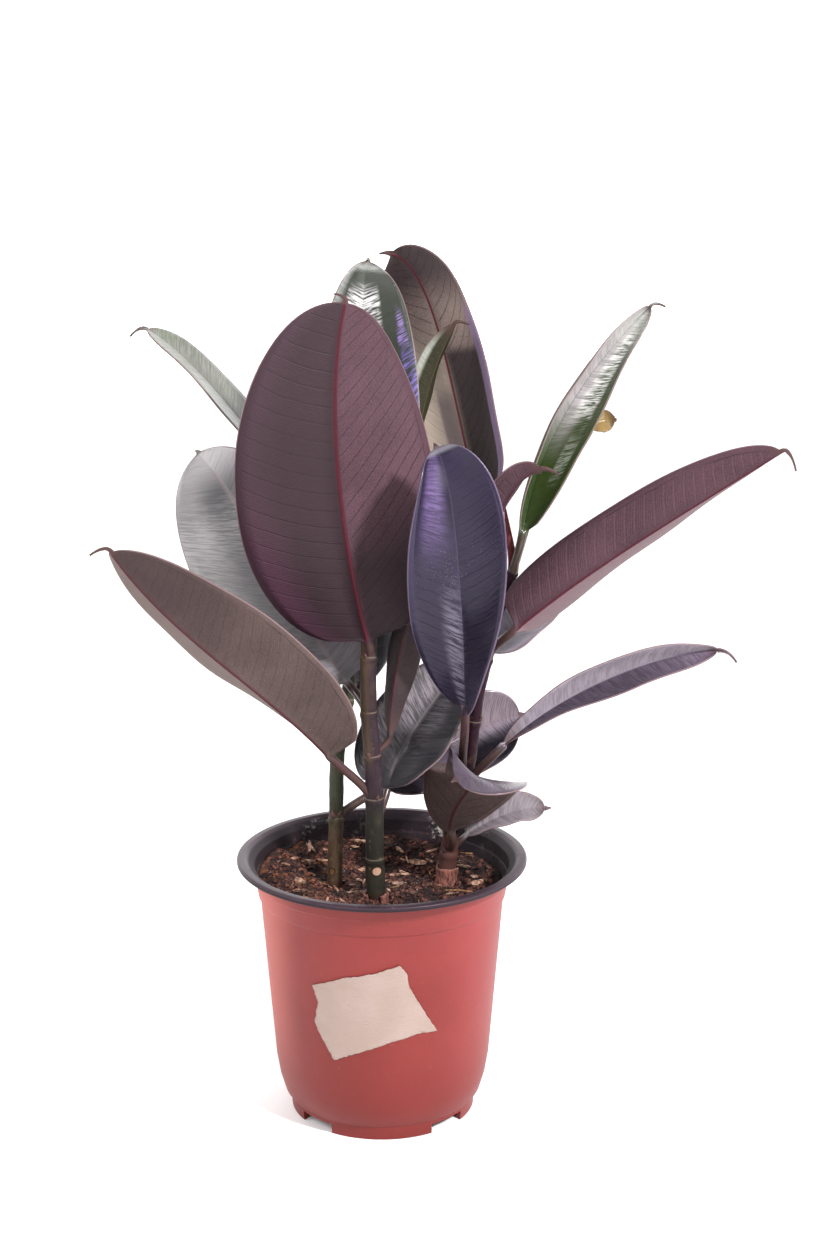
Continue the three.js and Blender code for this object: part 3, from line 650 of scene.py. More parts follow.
def leafFinish(name, leaf):
    look = {**leafSkin, **leafColours[leaf["colour"]], **leaf}
    tone = dict(zip(leafTones, look["tones"]))
    length = cubicLength(throughFour(leaf["rib"]))
    finish = Finish(name)
    place = finish.place
    across, along, width = finish.parts(finish.attribute("shape", "Vector"))
    under = finish.attribute("under", "Fac").ramp(0.3, 0.7)
    lateral = abs(across)
    toEdge = width - lateral
    onBlade = along.ramp(0.0, 4.0)
    broad = width.ramp(3.0, 10.0)

    # side veins run out from the rib and curve towards the tip; fine ones fill the space between
    drift = finish.grain(place, 60.0) - 0.5
    left, right = look["slant"]
    slant = across.ramp(-0.1, 0.1) * (right - left) + left
    course = along - lateral * slant - lateral * lateral * look["bow"] + drift * 2.0
    main = abs((course / look["spacing"]).fract() - 0.5)
    fine = abs((course / look["fineSpacing"]).fract() - 0.5)
    veins = main.ramp(0.09, 0.02) * onBlade * toEdge.ramp(2.0, 6.0) * (lateral - 1.0).ramp(0.0, 3.0)
    fineVeins = fine.ramp(0.3, 0.0) * onBlade * toEdge.ramp(1.0, 4.0)

    clouds = finish.grain(place, 22.0, 4.0)
    pores = finish.grain(place, 1250.0, 2.0)
    ribEdge = 0.45 + leaf["wide"] * 0.016 - along * (0.4 / length)
    onRib = (ribEdge - lateral).ramp(-0.15, 0.3) * broad
    margin = toEdge.ramp(0.6, 0.3) * broad
    seam = abs(toEdge - 3.8 - drift * 2.5).ramp(0.5, 0.15) * finish.grain(place, 30.0).ramp(0.4, 0.55)
    underside = finish.coats(
        finish.mottled(clouds.ramp(0.35, 0.65), tone["underDeep"], tone["under"]),
        (fineVeins * 0.22, scaled(tone["underDeep"], 0.7)),
        (veins * look["veins"], look.get("veinTone", tone["vein"])),
        (pores.ramp(0.42, 0.72) * 0.32, scaled(tone["under"], 1.3)),
        (pores.ramp(0.5, 0.3) * 0.22, scaled(tone["underDeep"], 0.6)),
        (seam * onBlade * 0.6, scaled(tone["underDeep"], 0.45)))

    dust = finish.specks(900.0).ramp(0.19, 0.07) * finish.grain(place, 35.0).ramp(0.45, 0.7)
    upperside = finish.coats(
        finish.mottled(clouds.ramp(0.3, 0.7), tone["upperDeep"], tone["upper"]),
        (dust * 0.7, look["dust"]),
        ((0.6 - lateral).ramp(-0.2, 0.3) * 0.6 * broad, tone["upperRib"]))

    # painted patches: painted shade and shadows, painted highlights and painted reflections, some broken
    # into streaks, and some of the leaf's own tones
    skin = finish.blend(under, upperside, underside)
    share = across / width.most(1.0)
    way = along / length
    streaks = finish.grain(finish.join(course * 0.9, lateral * 0.09, along * 0.02), 1.0, 4.0, 0.65)
    for side, left, right, low, high, soft, strength, streaky, patchTone in look["patches"]:
        mask = share.within(left, right, soft) * way.within(low, high, soft)
        if streaky:
            mask = mask * (1 - streaks.ramp(0.6, 0.4) * streaky).most(0.0)
        mask = mask * (under if side == lower else 1 - under)
        skin = finish.coats(skin, (mask * strength, patchTone))
    skin = finish.coats(
        skin, (onRib * under * 0.9, tone["rib"]), (margin * onBlade * 0.75, look["margin"]),
        ((1 - broad) * onBlade * 0.7, look["narrow"]))
    stalkSkin = finish.mottled(clouds.ramp(0.3, 0.7), *look["stalkTones"])
    skin = finish.blend(along.ramp(2.0, -4.0), skin, stalkSkin)

    # the upper side is puckered between its side veins, which breaks its reflections into streaks
    pucker = finish.grain(finish.join(course * 0.5, lateral * 0.06, along * 0.01), 1.0, 3.0)
    above = pucker * 0.75 - veins * 0.25
    below = fineVeins * 0.1 + pores * 0.1 - veins * 0.2
    relief = above * (1 - under) + below * under + finish.grain(place, 40.0, 2.0) * 0.5
    return finish.close(
        Base_Color=skin, Roughness=0.34 + under * 0.2 + clouds * 0.08, Specular_IOR_Level=look["shine"],
        Specular_Tint=(*look["sheen"], 1.0), Coat_Weight=(1 - under) * look["gloss"],
        Coat_Roughness=look["coatRoughness"], Normal=finish.bump(relief, *look["relief"]))


for name, leaf in leaves.items():
    piece, node = "leafBlade_" + name, "leaf_" + name
    finished(piece, leafMesh(piece, leaf), [leafFinish("leaf " + name, leaf)], node)
print("leaves made:", len(leaves))


# What all stems share, in millimetres. bulge: (height, reach) of a leaf ring; groove: (depth, reach, how
# far above); lumps: of the bark; stub: split bark, which starts at stubFrom and is open beyond stubArc,
# in radians
stemShape = {
    "columns": 28,
    "rows": 240,
    "bulge": (0.55, 1.6),
    "groove": (0.15, 0.5, 2.2),
    "lumps": 0.25,
    "budSides": 12,
    "budRings": 9,
    "budSunk": 0.4,
    "budTones": ((82, 50, 46), (50, 32, 32)),
    "stubColumns": 40,
    "stubRows": 16,
    "stubFrom": 120,
    "stubArc": 5.3,
    "stubTones": ((136, 82, 70), (58, 28, 26)),
}

# Stems. [x, y, z, radius] from the buried end to the tip of the bud sheath; nodes: heights of the leaf
# rings; sheath: where it starts; buds: (height, azimuth, length, radius); stub: (radius added, top
# height); low and high: tones below and above turnAt; scar: (turn, height, radius, tone) of a cut leaf;
# foot: the tone below a height; crown: a painted highlight, the lighter olive tone of the left half above a
# height
stems = {
    "left": {
        "path": ((-24, 9, 84, 4.0), (-28, 7, 128, 4.4), (-27, 7, 173, 4.3), (-26, 8, 212, 4.2),
                 (-22, 10, 236, 4.0), (-19, 12, 256, 3.8), (-19, 14, 282, 3.6), (-21, 16, 312, 3.4),
                 (-25, 18, 338, 3.2), (-27, 19, 352, 2.2), (-29, 20, 368, 0.8)),
        "nodes": (175, 246, 290, 334), "sheath": 340,
        "buds": ((177, 250, 7, 1.9), (178, 300, 5, 1.4), (248, 200, 4, 1.2)), "stub": (0.5, 133),
        "low": (74, 58, 44), "high": (60, 62, 49), "turnAt": 176,
        "scar": (4.35, 144, 2.0, (96, 66, 40)), "foot": (138, (60, 38, 32))},
    "middle": {
        "path": ((-2, -12, 84, 5.4), (-3, -13, 128, 5.8), (-4, -13, 157, 5.4), (-4, -14, 194, 5.2),
                 (-5, -15, 220, 4.9), (-7, -15, 248, 4.7), (-7, -13, 278, 4.6), (-6, -10, 305, 4.3),
                 (-4, -4, 344, 4.0), (-3, -2, 360, 2.8), (-2, 0, 392, 0.8)),
        "nodes": (157, 194, 220, 246, 278, 340), "sheath": 346,
        "buds": ((196, 290, 4, 1.3), (222, 250, 4, 1.3), (280, 250, 4, 1.2)), "stub": (1.3, 137),
        "low": (36, 36, 30), "high": (46, 32, 40), "turnAt": 194,
        "scar": (4.95, 152, 2.5, (172, 136, 114)), "foot": (138, (44, 28, 24)),
        "crown": (218, (76, 62, 47))},
    "right": {
        "path": ((34, 22, 84, 5.2), (38, 24, 130, 5.6), (40, 24, 152, 5.0), (44, 25, 181, 4.1),
                 (51, 26, 202, 4.0), (54, 26, 228, 3.9), (57, 26, 249, 3.8), (62, 26, 270, 3.6),
                 (67, 25, 293, 3.4), (72, 24, 310, 3.2), (76, 22, 322, 3.0), (74, 22, 340, 2.0),
                 (71, 22, 359, 0.7)),
        "nodes": (147, 188, 228, 267, 300, 320), "sheath": 326,
        "buds": ((150, 240, 5, 1.5), (190, 200, 4, 1.2), (230, 330, 4, 1.2)), "stub": (1.0, 139),
        "low": (24, 11, 16), "high": (34, 11, 25), "turnAt": 180,
        "scar": (4.3, 160, 1.3, (90, 62, 52)), "foot": (160, (74, 48, 44))},
}


def alongPath(path, share):
    spans = len(path) - 1
    k = min(int(share * spans), spans - 1)
    t = share * spans - k
    points = [Vector(path[min(max(k + i, 0), spans)][:3]) for i in (-1, 0, 1, 2)]
    if k == 0:
        points[0] = 2 * points[1] - points[2]
    if k == spans - 1:
        points[3] = 2 * points[2] - points[1]
    a, b, c, d = points
    squared, cubed = 2 * a - 5 * b + 4 * c - d, 3 * b - a - 3 * c + d
    place = 0.5 * (2 * b + (c - a) * t + squared * t * t + cubed * t ** 3)
    return place, path[k][3] * (1 - t) + path[k + 1][3] * t


# How far along its path a stem has risen to a height, by small steps towards it
def shareAt(path, height, steps=12):
    bottom, top = path[0][2], path[-1][2]
    share = (height - bottom) / (top - bottom)
    for _ in range(steps):
        share += (height - alongPath(path, share)[0].z) / (top - bottom) * 0.8
    return share


def stemFrame(path, share, step=0.004):
    centre, radius = alongPath(path, share)
    behind, before = alongPath(path, max(share - step, 0))[0], alongPath(path, min(share + step, 1))[0]
    ahead = (before - behind).normalized()
    right = Vector((0, 1, 0)).cross(ahead).normalized()
    return centre, ahead, right, ahead.cross(right), radius


def stemMesh(name, stem):
    columns, rows = stemShape["columns"], stemShape["rows"]
    bulge, bulgeReach = stemShape["bulge"]
    groove, grooveReach, grooveAbove = stemShape["groove"]

    def placeAt(column, row):
        centre, ahead, right, front, radius = stemFrame(stem["path"], row / rows)
        turn = fullTurn * column / columns
        out = right * math.cos(turn) + front * math.sin(turn)
        for height in stem["nodes"]:
            above = centre.z - height
            radius += bulge * math.exp(-(above / bulgeReach) ** 2)
            radius -= groove * math.exp(-((above - grooveAbove) / grooveReach) ** 2)
        lump = noise.noise(Vector((math.cos(turn), math.sin(turn), centre.z * 0.12)) * 1.4)
        return centre + out * (radius + stemShape["lumps"] * lump * min(radius, 4) / 4)

    # for the finish: height above the nearest leaf ring, height, and turn round the stem
    def mark(column, row):
        centre, _ = alongPath(stem["path"], row / rows)
        nearest = min(stem["nodes"], key=lambda height: abs(centre.z - height))
        turn = fullTurn * (column % columns) / columns
        return Vector((centre.z - nearest, centre.z, turn)), 0.0

    return toMesh(wrapped(columns, rows, placeAt, mark), name)


def stemFinish(name, stem):
    finish = Finish(name)
    place = finish.place
    nodeGap, height, turn = finish.parts(finish.attribute("shape", "Vector"))
    streaks = finish.grain(finish.stretched((1, 1, 0.18)), 900.0, 4.0)
    clouds = finish.grain(place, 70.0, 4.0)
    blotches = finish.grain(place, 160.0, 3.0)
    turnAt = stem["turnAt"] + (clouds - 0.5) * 20
    ring = abs(nodeGap - 1.9).ramp(0.55, 0.15)
    below = abs(nodeGap + 0.4).ramp(1.3, 0.5) * clouds.ramp(0.35, 0.6)
    pips = finish.specks(520.0).ramp(0.2, 0.1) * finish.grain(place, 160.0).ramp(0.45, 0.7)
    sheath = stem["sheath"]
    skin = finish.coats(
        finish.mottled((height - turnAt).ramp(-14, 14), stem["low"], stem["high"]),
        (streaks.ramp(0.35, 0.75) * 0.5, (26, 20, 20)),
        (clouds.ramp(0.5, 0.75) * 0.3, (78, 62, 44)),
        (blotches.ramp(0.58, 0.7) * (height.ramp(190, 165) * 0.35 + 0.2), (96, 80, 64)),
        (ring * 0.45, (120, 104, 88)),
        (below * 0.5, (30, 20, 20)),
        (pips * 0.55, (112, 96, 78)),
        (height.ramp(sheath - 4, sheath + 6) * 0.9, (104, 48, 50)))
    if "crown" in stem:
        # painted highlight: the left half above the crown height lighter and more olive
        crown, crownHighlight = stem["crown"]
        leftHalf = turn.ramp(5.1, 4.3) * turn.ramp(1.2, 2.0)
        skin = finish.coats(skin, (height.ramp(crown - 8, crown + 8) * leftHalf * 0.65, crownHighlight))
    foot, footTone = stem["foot"]
    at, level, radius, scarTone = stem["scar"]
    aside, rise = (turn - at) * 5, height - level
    away = (aside * aside + rise * rise).root() + (blotches - 0.5) * 1.2
    scar = away.ramp(radius + 0.1, radius - 0.4)
    skin = finish.coats(
        skin, (height.ramp(foot + 3, foot - 3) * 0.85, footTone),
        (away.ramp(radius + 0.9, radius + 0.3) * 0.8, (34, 24, 20)), (scar * 0.9, scarTone))
    relief = streaks * 0.6 + pips * 0.5 + clouds * 0.4 - scar * 0.5
    return finish.close(
        Base_Color=skin, Roughness=0.45 + clouds * 0.2, Specular_IOR_Level=0.12,
        Normal=finish.bump(relief, 0.0006, 0.6))


# A bud: a ball drawn to a point, which starts inside the stem and leans upwards
def addBud(bm, centre, out, length, radius):
    made = bmesh.ops.create_uvsphere(
        bm, u_segments=stemShape["budSides"], v_segments=stemShape["budRings"], radius=1.0)
    lean = (out + Vector((0, 0, 1.6))).normalized()
    turn = Vector((0, 0, 1)).rotation_difference(lean).to_matrix()
    for vert in made["verts"]:
        co = vert.co.copy()
        rise = (co.z + 1) / 2
        slim = (1 - rise) ** 0.7 + 0.15
        vert.co = (centre + turn @ Vector((co.x * radius * slim, co.y * radius * slim, rise * length))) * mm


def budsMesh(name, stem):
    bm = bmesh.new()
    for height, azimuth, length, radius in stem["buds"]:
        out = facing(azimuth, 0)
        centre, thick = alongPath(stem["path"], shareAt(stem["path"], height))
        addBud(bm, centre + out * (thick - stemShape["budSunk"]), out, length, radius)
    bmesh.ops.recalc_face_normals(bm, faces=bm.faces)
    return toMesh(bm, name)


# Split bark round a stem's foot: a torn collar that is open on one side
def stubMesh(name, stem):
    extra, top = stem["stub"]
    phase = random.Random(name).uniform(0, 6.28)
    columns, rows = stemShape["stubColumns"], stemShape["stubRows"]
    low = stemShape["stubFrom"]

    def placeAt(column, row):
        # the first half of the columns runs round the outside, the other half back along the inside
        column %= columns
        outside = column <= columns // 2
        share = (column if outside else columns - column) / (columns / 2)
        turn = phase + share * stemShape["stubArc"]
        jag = 3.2 * noise.noise(Vector((turn * 1.7, 3.1, 0))) + 1.4 * noise.noise(Vector((turn * 6, 9.1, 0)))
        height = low + (top - low + jag) * row / rows
        centre, radius = alongPath(stem["path"], shareAt(stem["path"], height, 7))
        flare = extra * (0.6 + 0.9 * (row / rows) ** 3)
        reach = radius + (flare if outside else flare * 0.25)
        return centre + Vector((math.cos(turn), math.sin(turn), 0)) * reach

    return toMesh(wrapped(columns, rows, placeAt), name)


def barkFinish(name, light, dark):
    finish = Finish(name)
    streaks = finish.grain(finish.stretched((1, 1, 0.3)), 700.0, 5.0)
    return finish.close(
        Base_Color=finish.mottled(streaks.ramp(0.35, 0.65), dark, light), Roughness=0.75,
        Normal=finish.bump(streaks, 0.0008, 0.8))


for side, stem in stems.items():
    length, buds, stub = "stemLength_" + side, "stemBuds_" + side, "stemStub_" + side
    bark = stemFinish("stem bark " + side, stem)
    budBark = barkFinish("bud " + side, *stemShape["budTones"])
    splitBark = barkFinish("split bark " + side, *stemShape["stubTones"])
    finished(length, stemMesh(length, stem), [bark], "stem_" + side)
    finished(buds, budsMesh(buds, stem), [budBark], None)
    finished(stub, stubMesh(stub, stem), [splitBark], None)
print("stems made:", len(stems))


# The pot: the same profile as the solid's, turned in finer steps. Millimetres and degrees; sharpFrom:
# (angle, radius) from which an edge is rounded; liningFrom and floorFrom (height, radius) and rimFrom:
# where the dark plastic shows; saltAt: (middle, half the distance) of the two salty places, in metres
pot = {
    "outside": ((54.5, 0), (55, 8), (58.5, 12), (61.5, 22), (63.5, 34), (71.5, 132.5), (72.6, 133.6),
                (74.4, 143.3), (75.2, 144), (76, 152.6), (84.2, 152.6), (85, 153.5), (85, 155.2), (84, 156)),
    "inside": ((80.5, 156), (78.8, 154.8), (74.7, 151.5), (74.1, 144.6), (73.2, 143.8), (71.4, 134.2),
               (70.3, 132.5), (62.3, 34), (60.2, 22.3), (57.3, 13.2), (52.5, 8.8), (0, 8.5)),
    "underside": ((0, 0), (12, 0), (13, 7), (50.5, 7), (52.3, 0)),
    "steps": 144,
    "notch": (20, 24, 16),
    "notchAt": (56.5, 0, -2),
    "drainRadius": 4,
    "drainDepth": 20,
    "drainSides": 24,
    "drainAt": (36, 0, 7),
    "quarters": (45, 135, 225, 315),
    "edge": 0.35,
    "sharpFrom": (28, 50),
    "smoothUpTo": 40,
    "liningFrom": (8, 50),
    "rimFrom": 152,
    "floorFrom": (7.2, 52.6),
    "terracotta": ((108, 31, 27), (117, 38, 35)),
    "dark": ((36, 23, 31), (50, 36, 46)),
    "saltAt": (-0.0065, 0.0325),
}


def potCutter():
    bm = bmesh.new()
    for quarter in pot["quarters"]:
        turn = Matrix.Rotation(math.radians(quarter), 4, "Z")
        made = bmesh.ops.create_cube(bm, size=1.0)
        bmesh.ops.scale(bm, vec=Vector(pot["notch"]) * mm, verts=made["verts"])
        bmesh.ops.transform(
            bm, matrix=turn @ Matrix.Translation(Vector(pot["notchAt"]) * mm), verts=made["verts"])
        radius = pot["drainRadius"] * mm
        made = bmesh.ops.create_cone(
            bm, cap_ends=True, segments=pot["drainSides"], radius1=radius, radius2=radius,
            depth=pot["drainDepth"] * mm)
        bmesh.ops.transform(
            bm, matrix=turn @ Matrix.Translation(Vector(pot["drainAt"]) * mm), verts=made["verts"])
    return toMesh(bm, "potCutter")


def potMesh():
    bm = bmesh.new()
    for part in (pot["outside"] + pot["inside"], pot["underside"] + (pot["outside"][0],)):
        verts = [bm.verts.new(Vector((r, 0, z)) * mm) for r, z in part]
        for first, second in zip(verts, verts[1:]):
            bm.edges.new((first, second))
    bmesh.ops.spin(
        bm, geom=bm.verts[:] + bm.edges[:], cent=(0, 0, 0), axis=(0, 0, 1), angle=fullTurn,
        steps=pot["steps"], use_merge=True)
    bmesh.ops.remove_doubles(bm, verts=bm.verts, dist=1e-6)
    empty = [face for face in bm.faces if face.calc_area() < 1e-12]
    bmesh.ops.delete(bm, geom=empty, context="FACES")
    bmesh.ops.recalc_face_normals(bm, faces=bm.faces)
    angle, radius = pot["sharpFrom"]
    sharp = [edge for edge in bm.edges if edge.is_manifold and edge.calc_face_angle() > math.radians(angle)
             and edge.verts[0].co.xy.length > radius * mm]
    bmesh.ops.bevel(
        bm, geom=sharp, offset=pot["edge"] * mm, offset_type="OFFSET", affect="EDGES", segments=3,
        profile=0.5, material=-1)
    return toMesh(bm, "potShell")


def cutMesh(name, mesh, cutter):
    body = bpy.data.objects.new("cutBody", mesh)
    tool = bpy.data.objects.new("cutTool", cutter)
    for item in (body, tool):
        bpy.context.scene.collection.objects.link(item)
    cut = body.modifiers.new("cut", "BOOLEAN")
    cut.operation = "DIFFERENCE"
    cut.object = tool
    cut.solver = "EXACT"
    bpy.context.view_layer.update()
    result = bpy.data.meshes.new_from_object(body.evaluated_get(bpy.context.evaluated_depsgraph_get()))
    result.name = name
    for item in (body, tool):
        bpy.data.objects.remove(item)
    return result


def potFinish():
    finish = Finish("terracotta plastic")
    place = finish.place
    x, _, z = finish.parts(place)
    clouds = finish.grain(place, 18.0, 5.0)
    rings = finish.grain(finish.stretched((0.1, 0.1, 1)), 900.0, 2.0)
    marks = finish.grain(place, 240.0, 5.0).ramp(0.62, 0.8)
    tone = finish.coats(
        finish.mottled(clouds.ramp(0.35, 0.7), *pot["terracotta"]),
        (z.ramp(0.08, 0.15) * 0.35, (126, 46, 46)),
        # painted highlights: the left edge lighter and paler, and the right edge a little lighter
        (x.ramp(-0.045, -0.072) * 0.8, (176, 84, 74)),
        (x.ramp(0.03, 0.06) * 0.5, (142, 48, 50)),
        (rings.ramp(0.4, 0.8) * 0.1, (92, 28, 26)),
        (marks * 0.25, (140, 88, 80)),
        (z.ramp(0.07, 0.02) * 0.55, (100, 26, 22)))
    relief = rings * 0.4 + clouds * 0.3 + finish.grain(place, 1500.0, 2.0) * 0.15
    return finish.close(
        Base_Color=tone, Roughness=0.42 + clouds * 0.12, Specular_IOR_Level=0.3,
        Normal=finish.bump(relief, 0.0004, 0.5))


# Rim and inside, with dried crust, salt from the water in two places at the back, and peat splashed on
# the wall; the inside is darkened as painted shade
def rimFinish():
    finish = Finish("dark rim plastic")
    place = finish.place
    x, y, z = finish.parts(place)
    clouds = finish.grain(place, 30.0, 5.0)
    inside = z.ramp(0.1553, 0.1538)
    crust = finish.grain(place, 420.0, 4.0).ramp(0.6, 0.72) * finish.grain(place, 26.0).ramp(0.42, 0.62)
    salt = finish.grain(place, 300.0, 5.0, 0.7).ramp(0.49, 0.57) * finish.grain(place, 40.0).ramp(0.5, 0.62)
    middle, apart = pot["saltAt"]
    salt = salt * y.ramp(0.035, 0.05) * inside
    salt = salt * (abs(abs(x - middle) - apart).ramp(0.016, 0.008) * 0.85 + 0.15)
    splash = finish.grain(place, 500.0, 4.0).ramp(0.55, 0.68) * inside * z.ramp(0.153, 0.143)
    tone = finish.coats(
        finish.mottled(clouds.ramp(0.35, 0.7), *pot["dark"]),
        (crust * 0.35, (104, 94, 98)),
        # painted shade: the inside of the pot darkened
        (inside * 0.85, (17, 11, 15)),
        (salt * 0.9, (170, 164, 158)),
        (splash * 0.7, (74, 40, 34)))
    return finish.close(
        Base_Color=tone, Roughness=0.4 + crust * 0.35 + inside * 0.25, Specular_IOR_Level=0.32,
        Specular_Tint=(1.0, 0.84, 0.94, 1.0), Normal=finish.bump(crust + clouds * 0.4 + splash, 0.0004, 0.6))


shell = cutMesh("potShell", potMesh(), potCutter())
finished("potShell", shell, [potFinish(), rimFinish()], "nursery_pot")
liningHeight, liningRadius = pot["liningFrom"]
floorHeight, floorRadius = pot["floorFrom"]
for polygon in shell.polygons:
    middle = polygon.center / mm
    radius = middle.xy.length
    lining = polygon.normal.xy.dot(middle.xy) < 0 and middle.z > liningHeight and radius > liningRadius
    floor = middle.z > floorHeight and radius < floorRadius
    polygon.material_index = 1 if lining or floor or middle.z > pot["rimFrom"] else 0
shell.set_sharp_from_angle(angle=math.radians(pot["smoothUpTo"]))
print("pot made:", len(shell.polygons), "faces")


# Soil: the same surface as the solid's, made crumbly. Millimetres; foot: [radius, height] above the pot's
# floor; wallAt: heights where it follows the wall, up to topUpTo; gap: to the wall; grainsAt: the height
# at which the wall bounds the loose grains; crumbs, fines and grit: (count, smallest, largest, seed);
# chips: [x, y, length, width, turn]
soil = {
    "height": 132,
    "foot": ((50, 9.2), (56.7, 13.6), (59.6, 22.6)),
    "wallAt": (34, 80, 115),
    "topUpTo": 132.5,
    "columns": 150,
    "rings": 62,
    "gap": 0.3,
    "grainsAt": 130,
    "crumbs": (1700, 0.9, 2.7, 5),
    "fines": (1700, 0.5, 1.3, 21),
    "grit": (130, 0.4, 1.1, 9),
    "chipHeight": 2.6,
    "splinters": 56,
    "splinterSeed": 41,
    "fibres": 24,
    "fibreSteps": 10,
    "fibreSeed": 77,
    "chips": (
        (-46, -28, 22, 4, 20), (-40, -42, 16, 3, 75), (-8, -45, 20, 4, 110), (12, -38, 14, 5, 40),
        (24, -30, 18, 4, 160), (44, -22, 15, 3, 65), (-50, 2, 14, 4, 130), (-46, 30, 12, 4, 15),
        (8, 12, 16, 4, 95), (58, 10, 13, 3, 35), (20, 48, 15, 4, 140), (-12, 40, 18, 3, 60),
        (30, -54, 12, 4, 5), (-24, -56, 13, 4, 150)),
}


# Outside of the pot's wall below its collar
def wallRadius(z):
    return 63.5 + 8 * (z - 34) / 98.5


def soilRadius(z):
    for (topRadius, top), (lowRadius, low) in zip(pot["inside"], pot["inside"][1:]):
        if low <= z <= top:
            return lowRadius + (topRadius - lowRadius) * (z - low) / (top - low) - soil["gap"]
    return 50


# Height of the soil's surface, which is heaped at the back
def soilSurface(x, y):
    heap = (13 + 0.05 * x) * ease((math.hypot(x, y) - 40) / 26) * ease((y + 25) / 60)
    waves = 1.5 * math.sin(x / 9 + 1) * math.cos(y / 11)
    return soil["height"] + heap - 0.09 * x - 0.05 * y + waves + math.sin((x + y) / 6)


def crumbly(x, y):
    return (0.9 * noise.noise(Vector((x, y, 0)) * 0.22) + 0.55 * noise.noise(Vector((x, y, 7)) * 0.55)
            + 0.35 * noise.noise(Vector((x, y, 3)) * 1.3))


def soilMesh():
    low = soil["foot"] + tuple((soilRadius(z), z) for z in soil["wallAt"])
    rings = soil["rings"]
    edge = soilRadius(soil["height"])

    def placeAt(column, row):
        turn = fullTurn * column / soil["columns"]
        out = Vector((math.cos(turn), math.sin(turn), 0))
        if row < len(low):
            radius, z = low[row]
            return out * radius + Vector((0, 0, z))
        z = soilSurface(out.x * edge, out.y * edge)
        if row == len(low):
            z = min(z - 1.5, soil["topUpTo"])
            return out * soilRadius(z) + Vector((0, 0, z))
        share = 1 - (row - len(low) - 1) / (rings - len(low) - 0.4)
        place = out * soilRadius(z) * share
        place.z = soilSurface(place.x, place.y) + crumbly(place.x, place.y) * ease((1 - share) * 12)
        return place

    return toMesh(wrapped(soil["columns"], rings, placeAt), "soilBody")


# A random place on the soil, as [x, y]
def onSoil(rng, reach=0.96):
    radius = soilRadius(soil["grainsAt"]) * reach * math.sqrt(rng.random())
    turn = rng.uniform(0, fullTurn)
    return radius * math.cos(turn), radius * math.sin(turn)


# Small lumps from squashed low icospheres
def lumpsMesh(name, count, smallest, largest, seed):
    rng = random.Random(seed)
    bm = bmesh.new()
    for _ in range(count):
        x, y = onSoil(rng)
        size = smallest + (largest - smallest) * rng.random() ** 2.5
        turn = Matrix.Rotation(rng.uniform(0, 6.28), 4, "Z")
        turn = turn @ Matrix.Rotation(rng.uniform(-0.6, 0.6), 4, "X")
        shape = Matrix.Diagonal((size, size * rng.uniform(0.55, 1), size * rng.uniform(0.4, 0.8), 1))
        place = Matrix.Translation(Vector((x, y, soilSurface(x, y) + crumbly(x, y) + size * 0.15)) * mm)
        made = bmesh.ops.create_icosphere(bm, subdivisions=1, radius=mm, matrix=place @ turn @ shape)
        for vert in made["verts"]:
            jolt = Vector((rng.uniform(-1, 1), rng.uniform(-1, 1), rng.uniform(-1, 1)))
            vert.co += jolt * size * 0.18 * mm
    return toMesh(bm, name)


# Splinters and chips: tapering slabs that lie half sunk, bent and roughened
def addSplinter(bm, rng, x, y, length, width, turnDegrees, height, lift=0.4, tilt=6):
    made = bmesh.ops.create_grid(bm, x_segments=6, y_segments=1, size=0.5)
    faces = list(dict.fromkeys(face for vert in made["verts"] for face in vert.link_faces))
    thick = bmesh.ops.extrude_face_region(bm, geom=faces)
    top = [item for item in thick["geom"] if isinstance(item, bmesh.types.BMVert)]
    for vert in top:
        vert.co.z += 1.0
    bow = rng.uniform(-0.5, 0.5)
    turn = Matrix.Rotation(math.radians(turnDegrees), 4, "Z") @ Matrix.Rotation(math.radians(tilt), 4, "Y")
    place = Matrix.Translation(Vector((x, y, soilSurface(x, y) + lift))) @ turn
    for vert in made["verts"] + top:
        along = vert.co.x
        slim = 1 - 0.55 * abs(2 * along) ** 2.2
        jolt = Vector((rng.uniform(-0.4, 0.4), rng.uniform(-0.25, 0.25), rng.uniform(-0.2, 0.2)))
        aside = vert.co.y * width * slim + bow * math.sin(3 * along)
        vert.co = (place @ (Vector((along * length, aside, (vert.co.z - 0.5) * height * slim)) + jolt)) * mm


def splintersMesh(name):
    rng = random.Random(soil["splinterSeed"])
    bm = bmesh.new()
    for x, y, length, width, turn in soil["chips"]:
        addSplinter(bm, rng, x, y, length, width, turn, soil["chipHeight"])
    for _ in range(soil["splinters"]):
        x, y = onSoil(rng, 0.92)
        length = rng.uniform(4, 12)
        addSplinter(bm, rng, x, y, length, rng.uniform(0.8, 2.2), rng.uniform(0, 180), rng.uniform(0.7, 1.5),
                    rng.uniform(0.6, 1.6), rng.uniform(-16, 16))
    bmesh.ops.recalc_face_normals(bm, faces=bm.faces)
    return toMesh(bm, name)


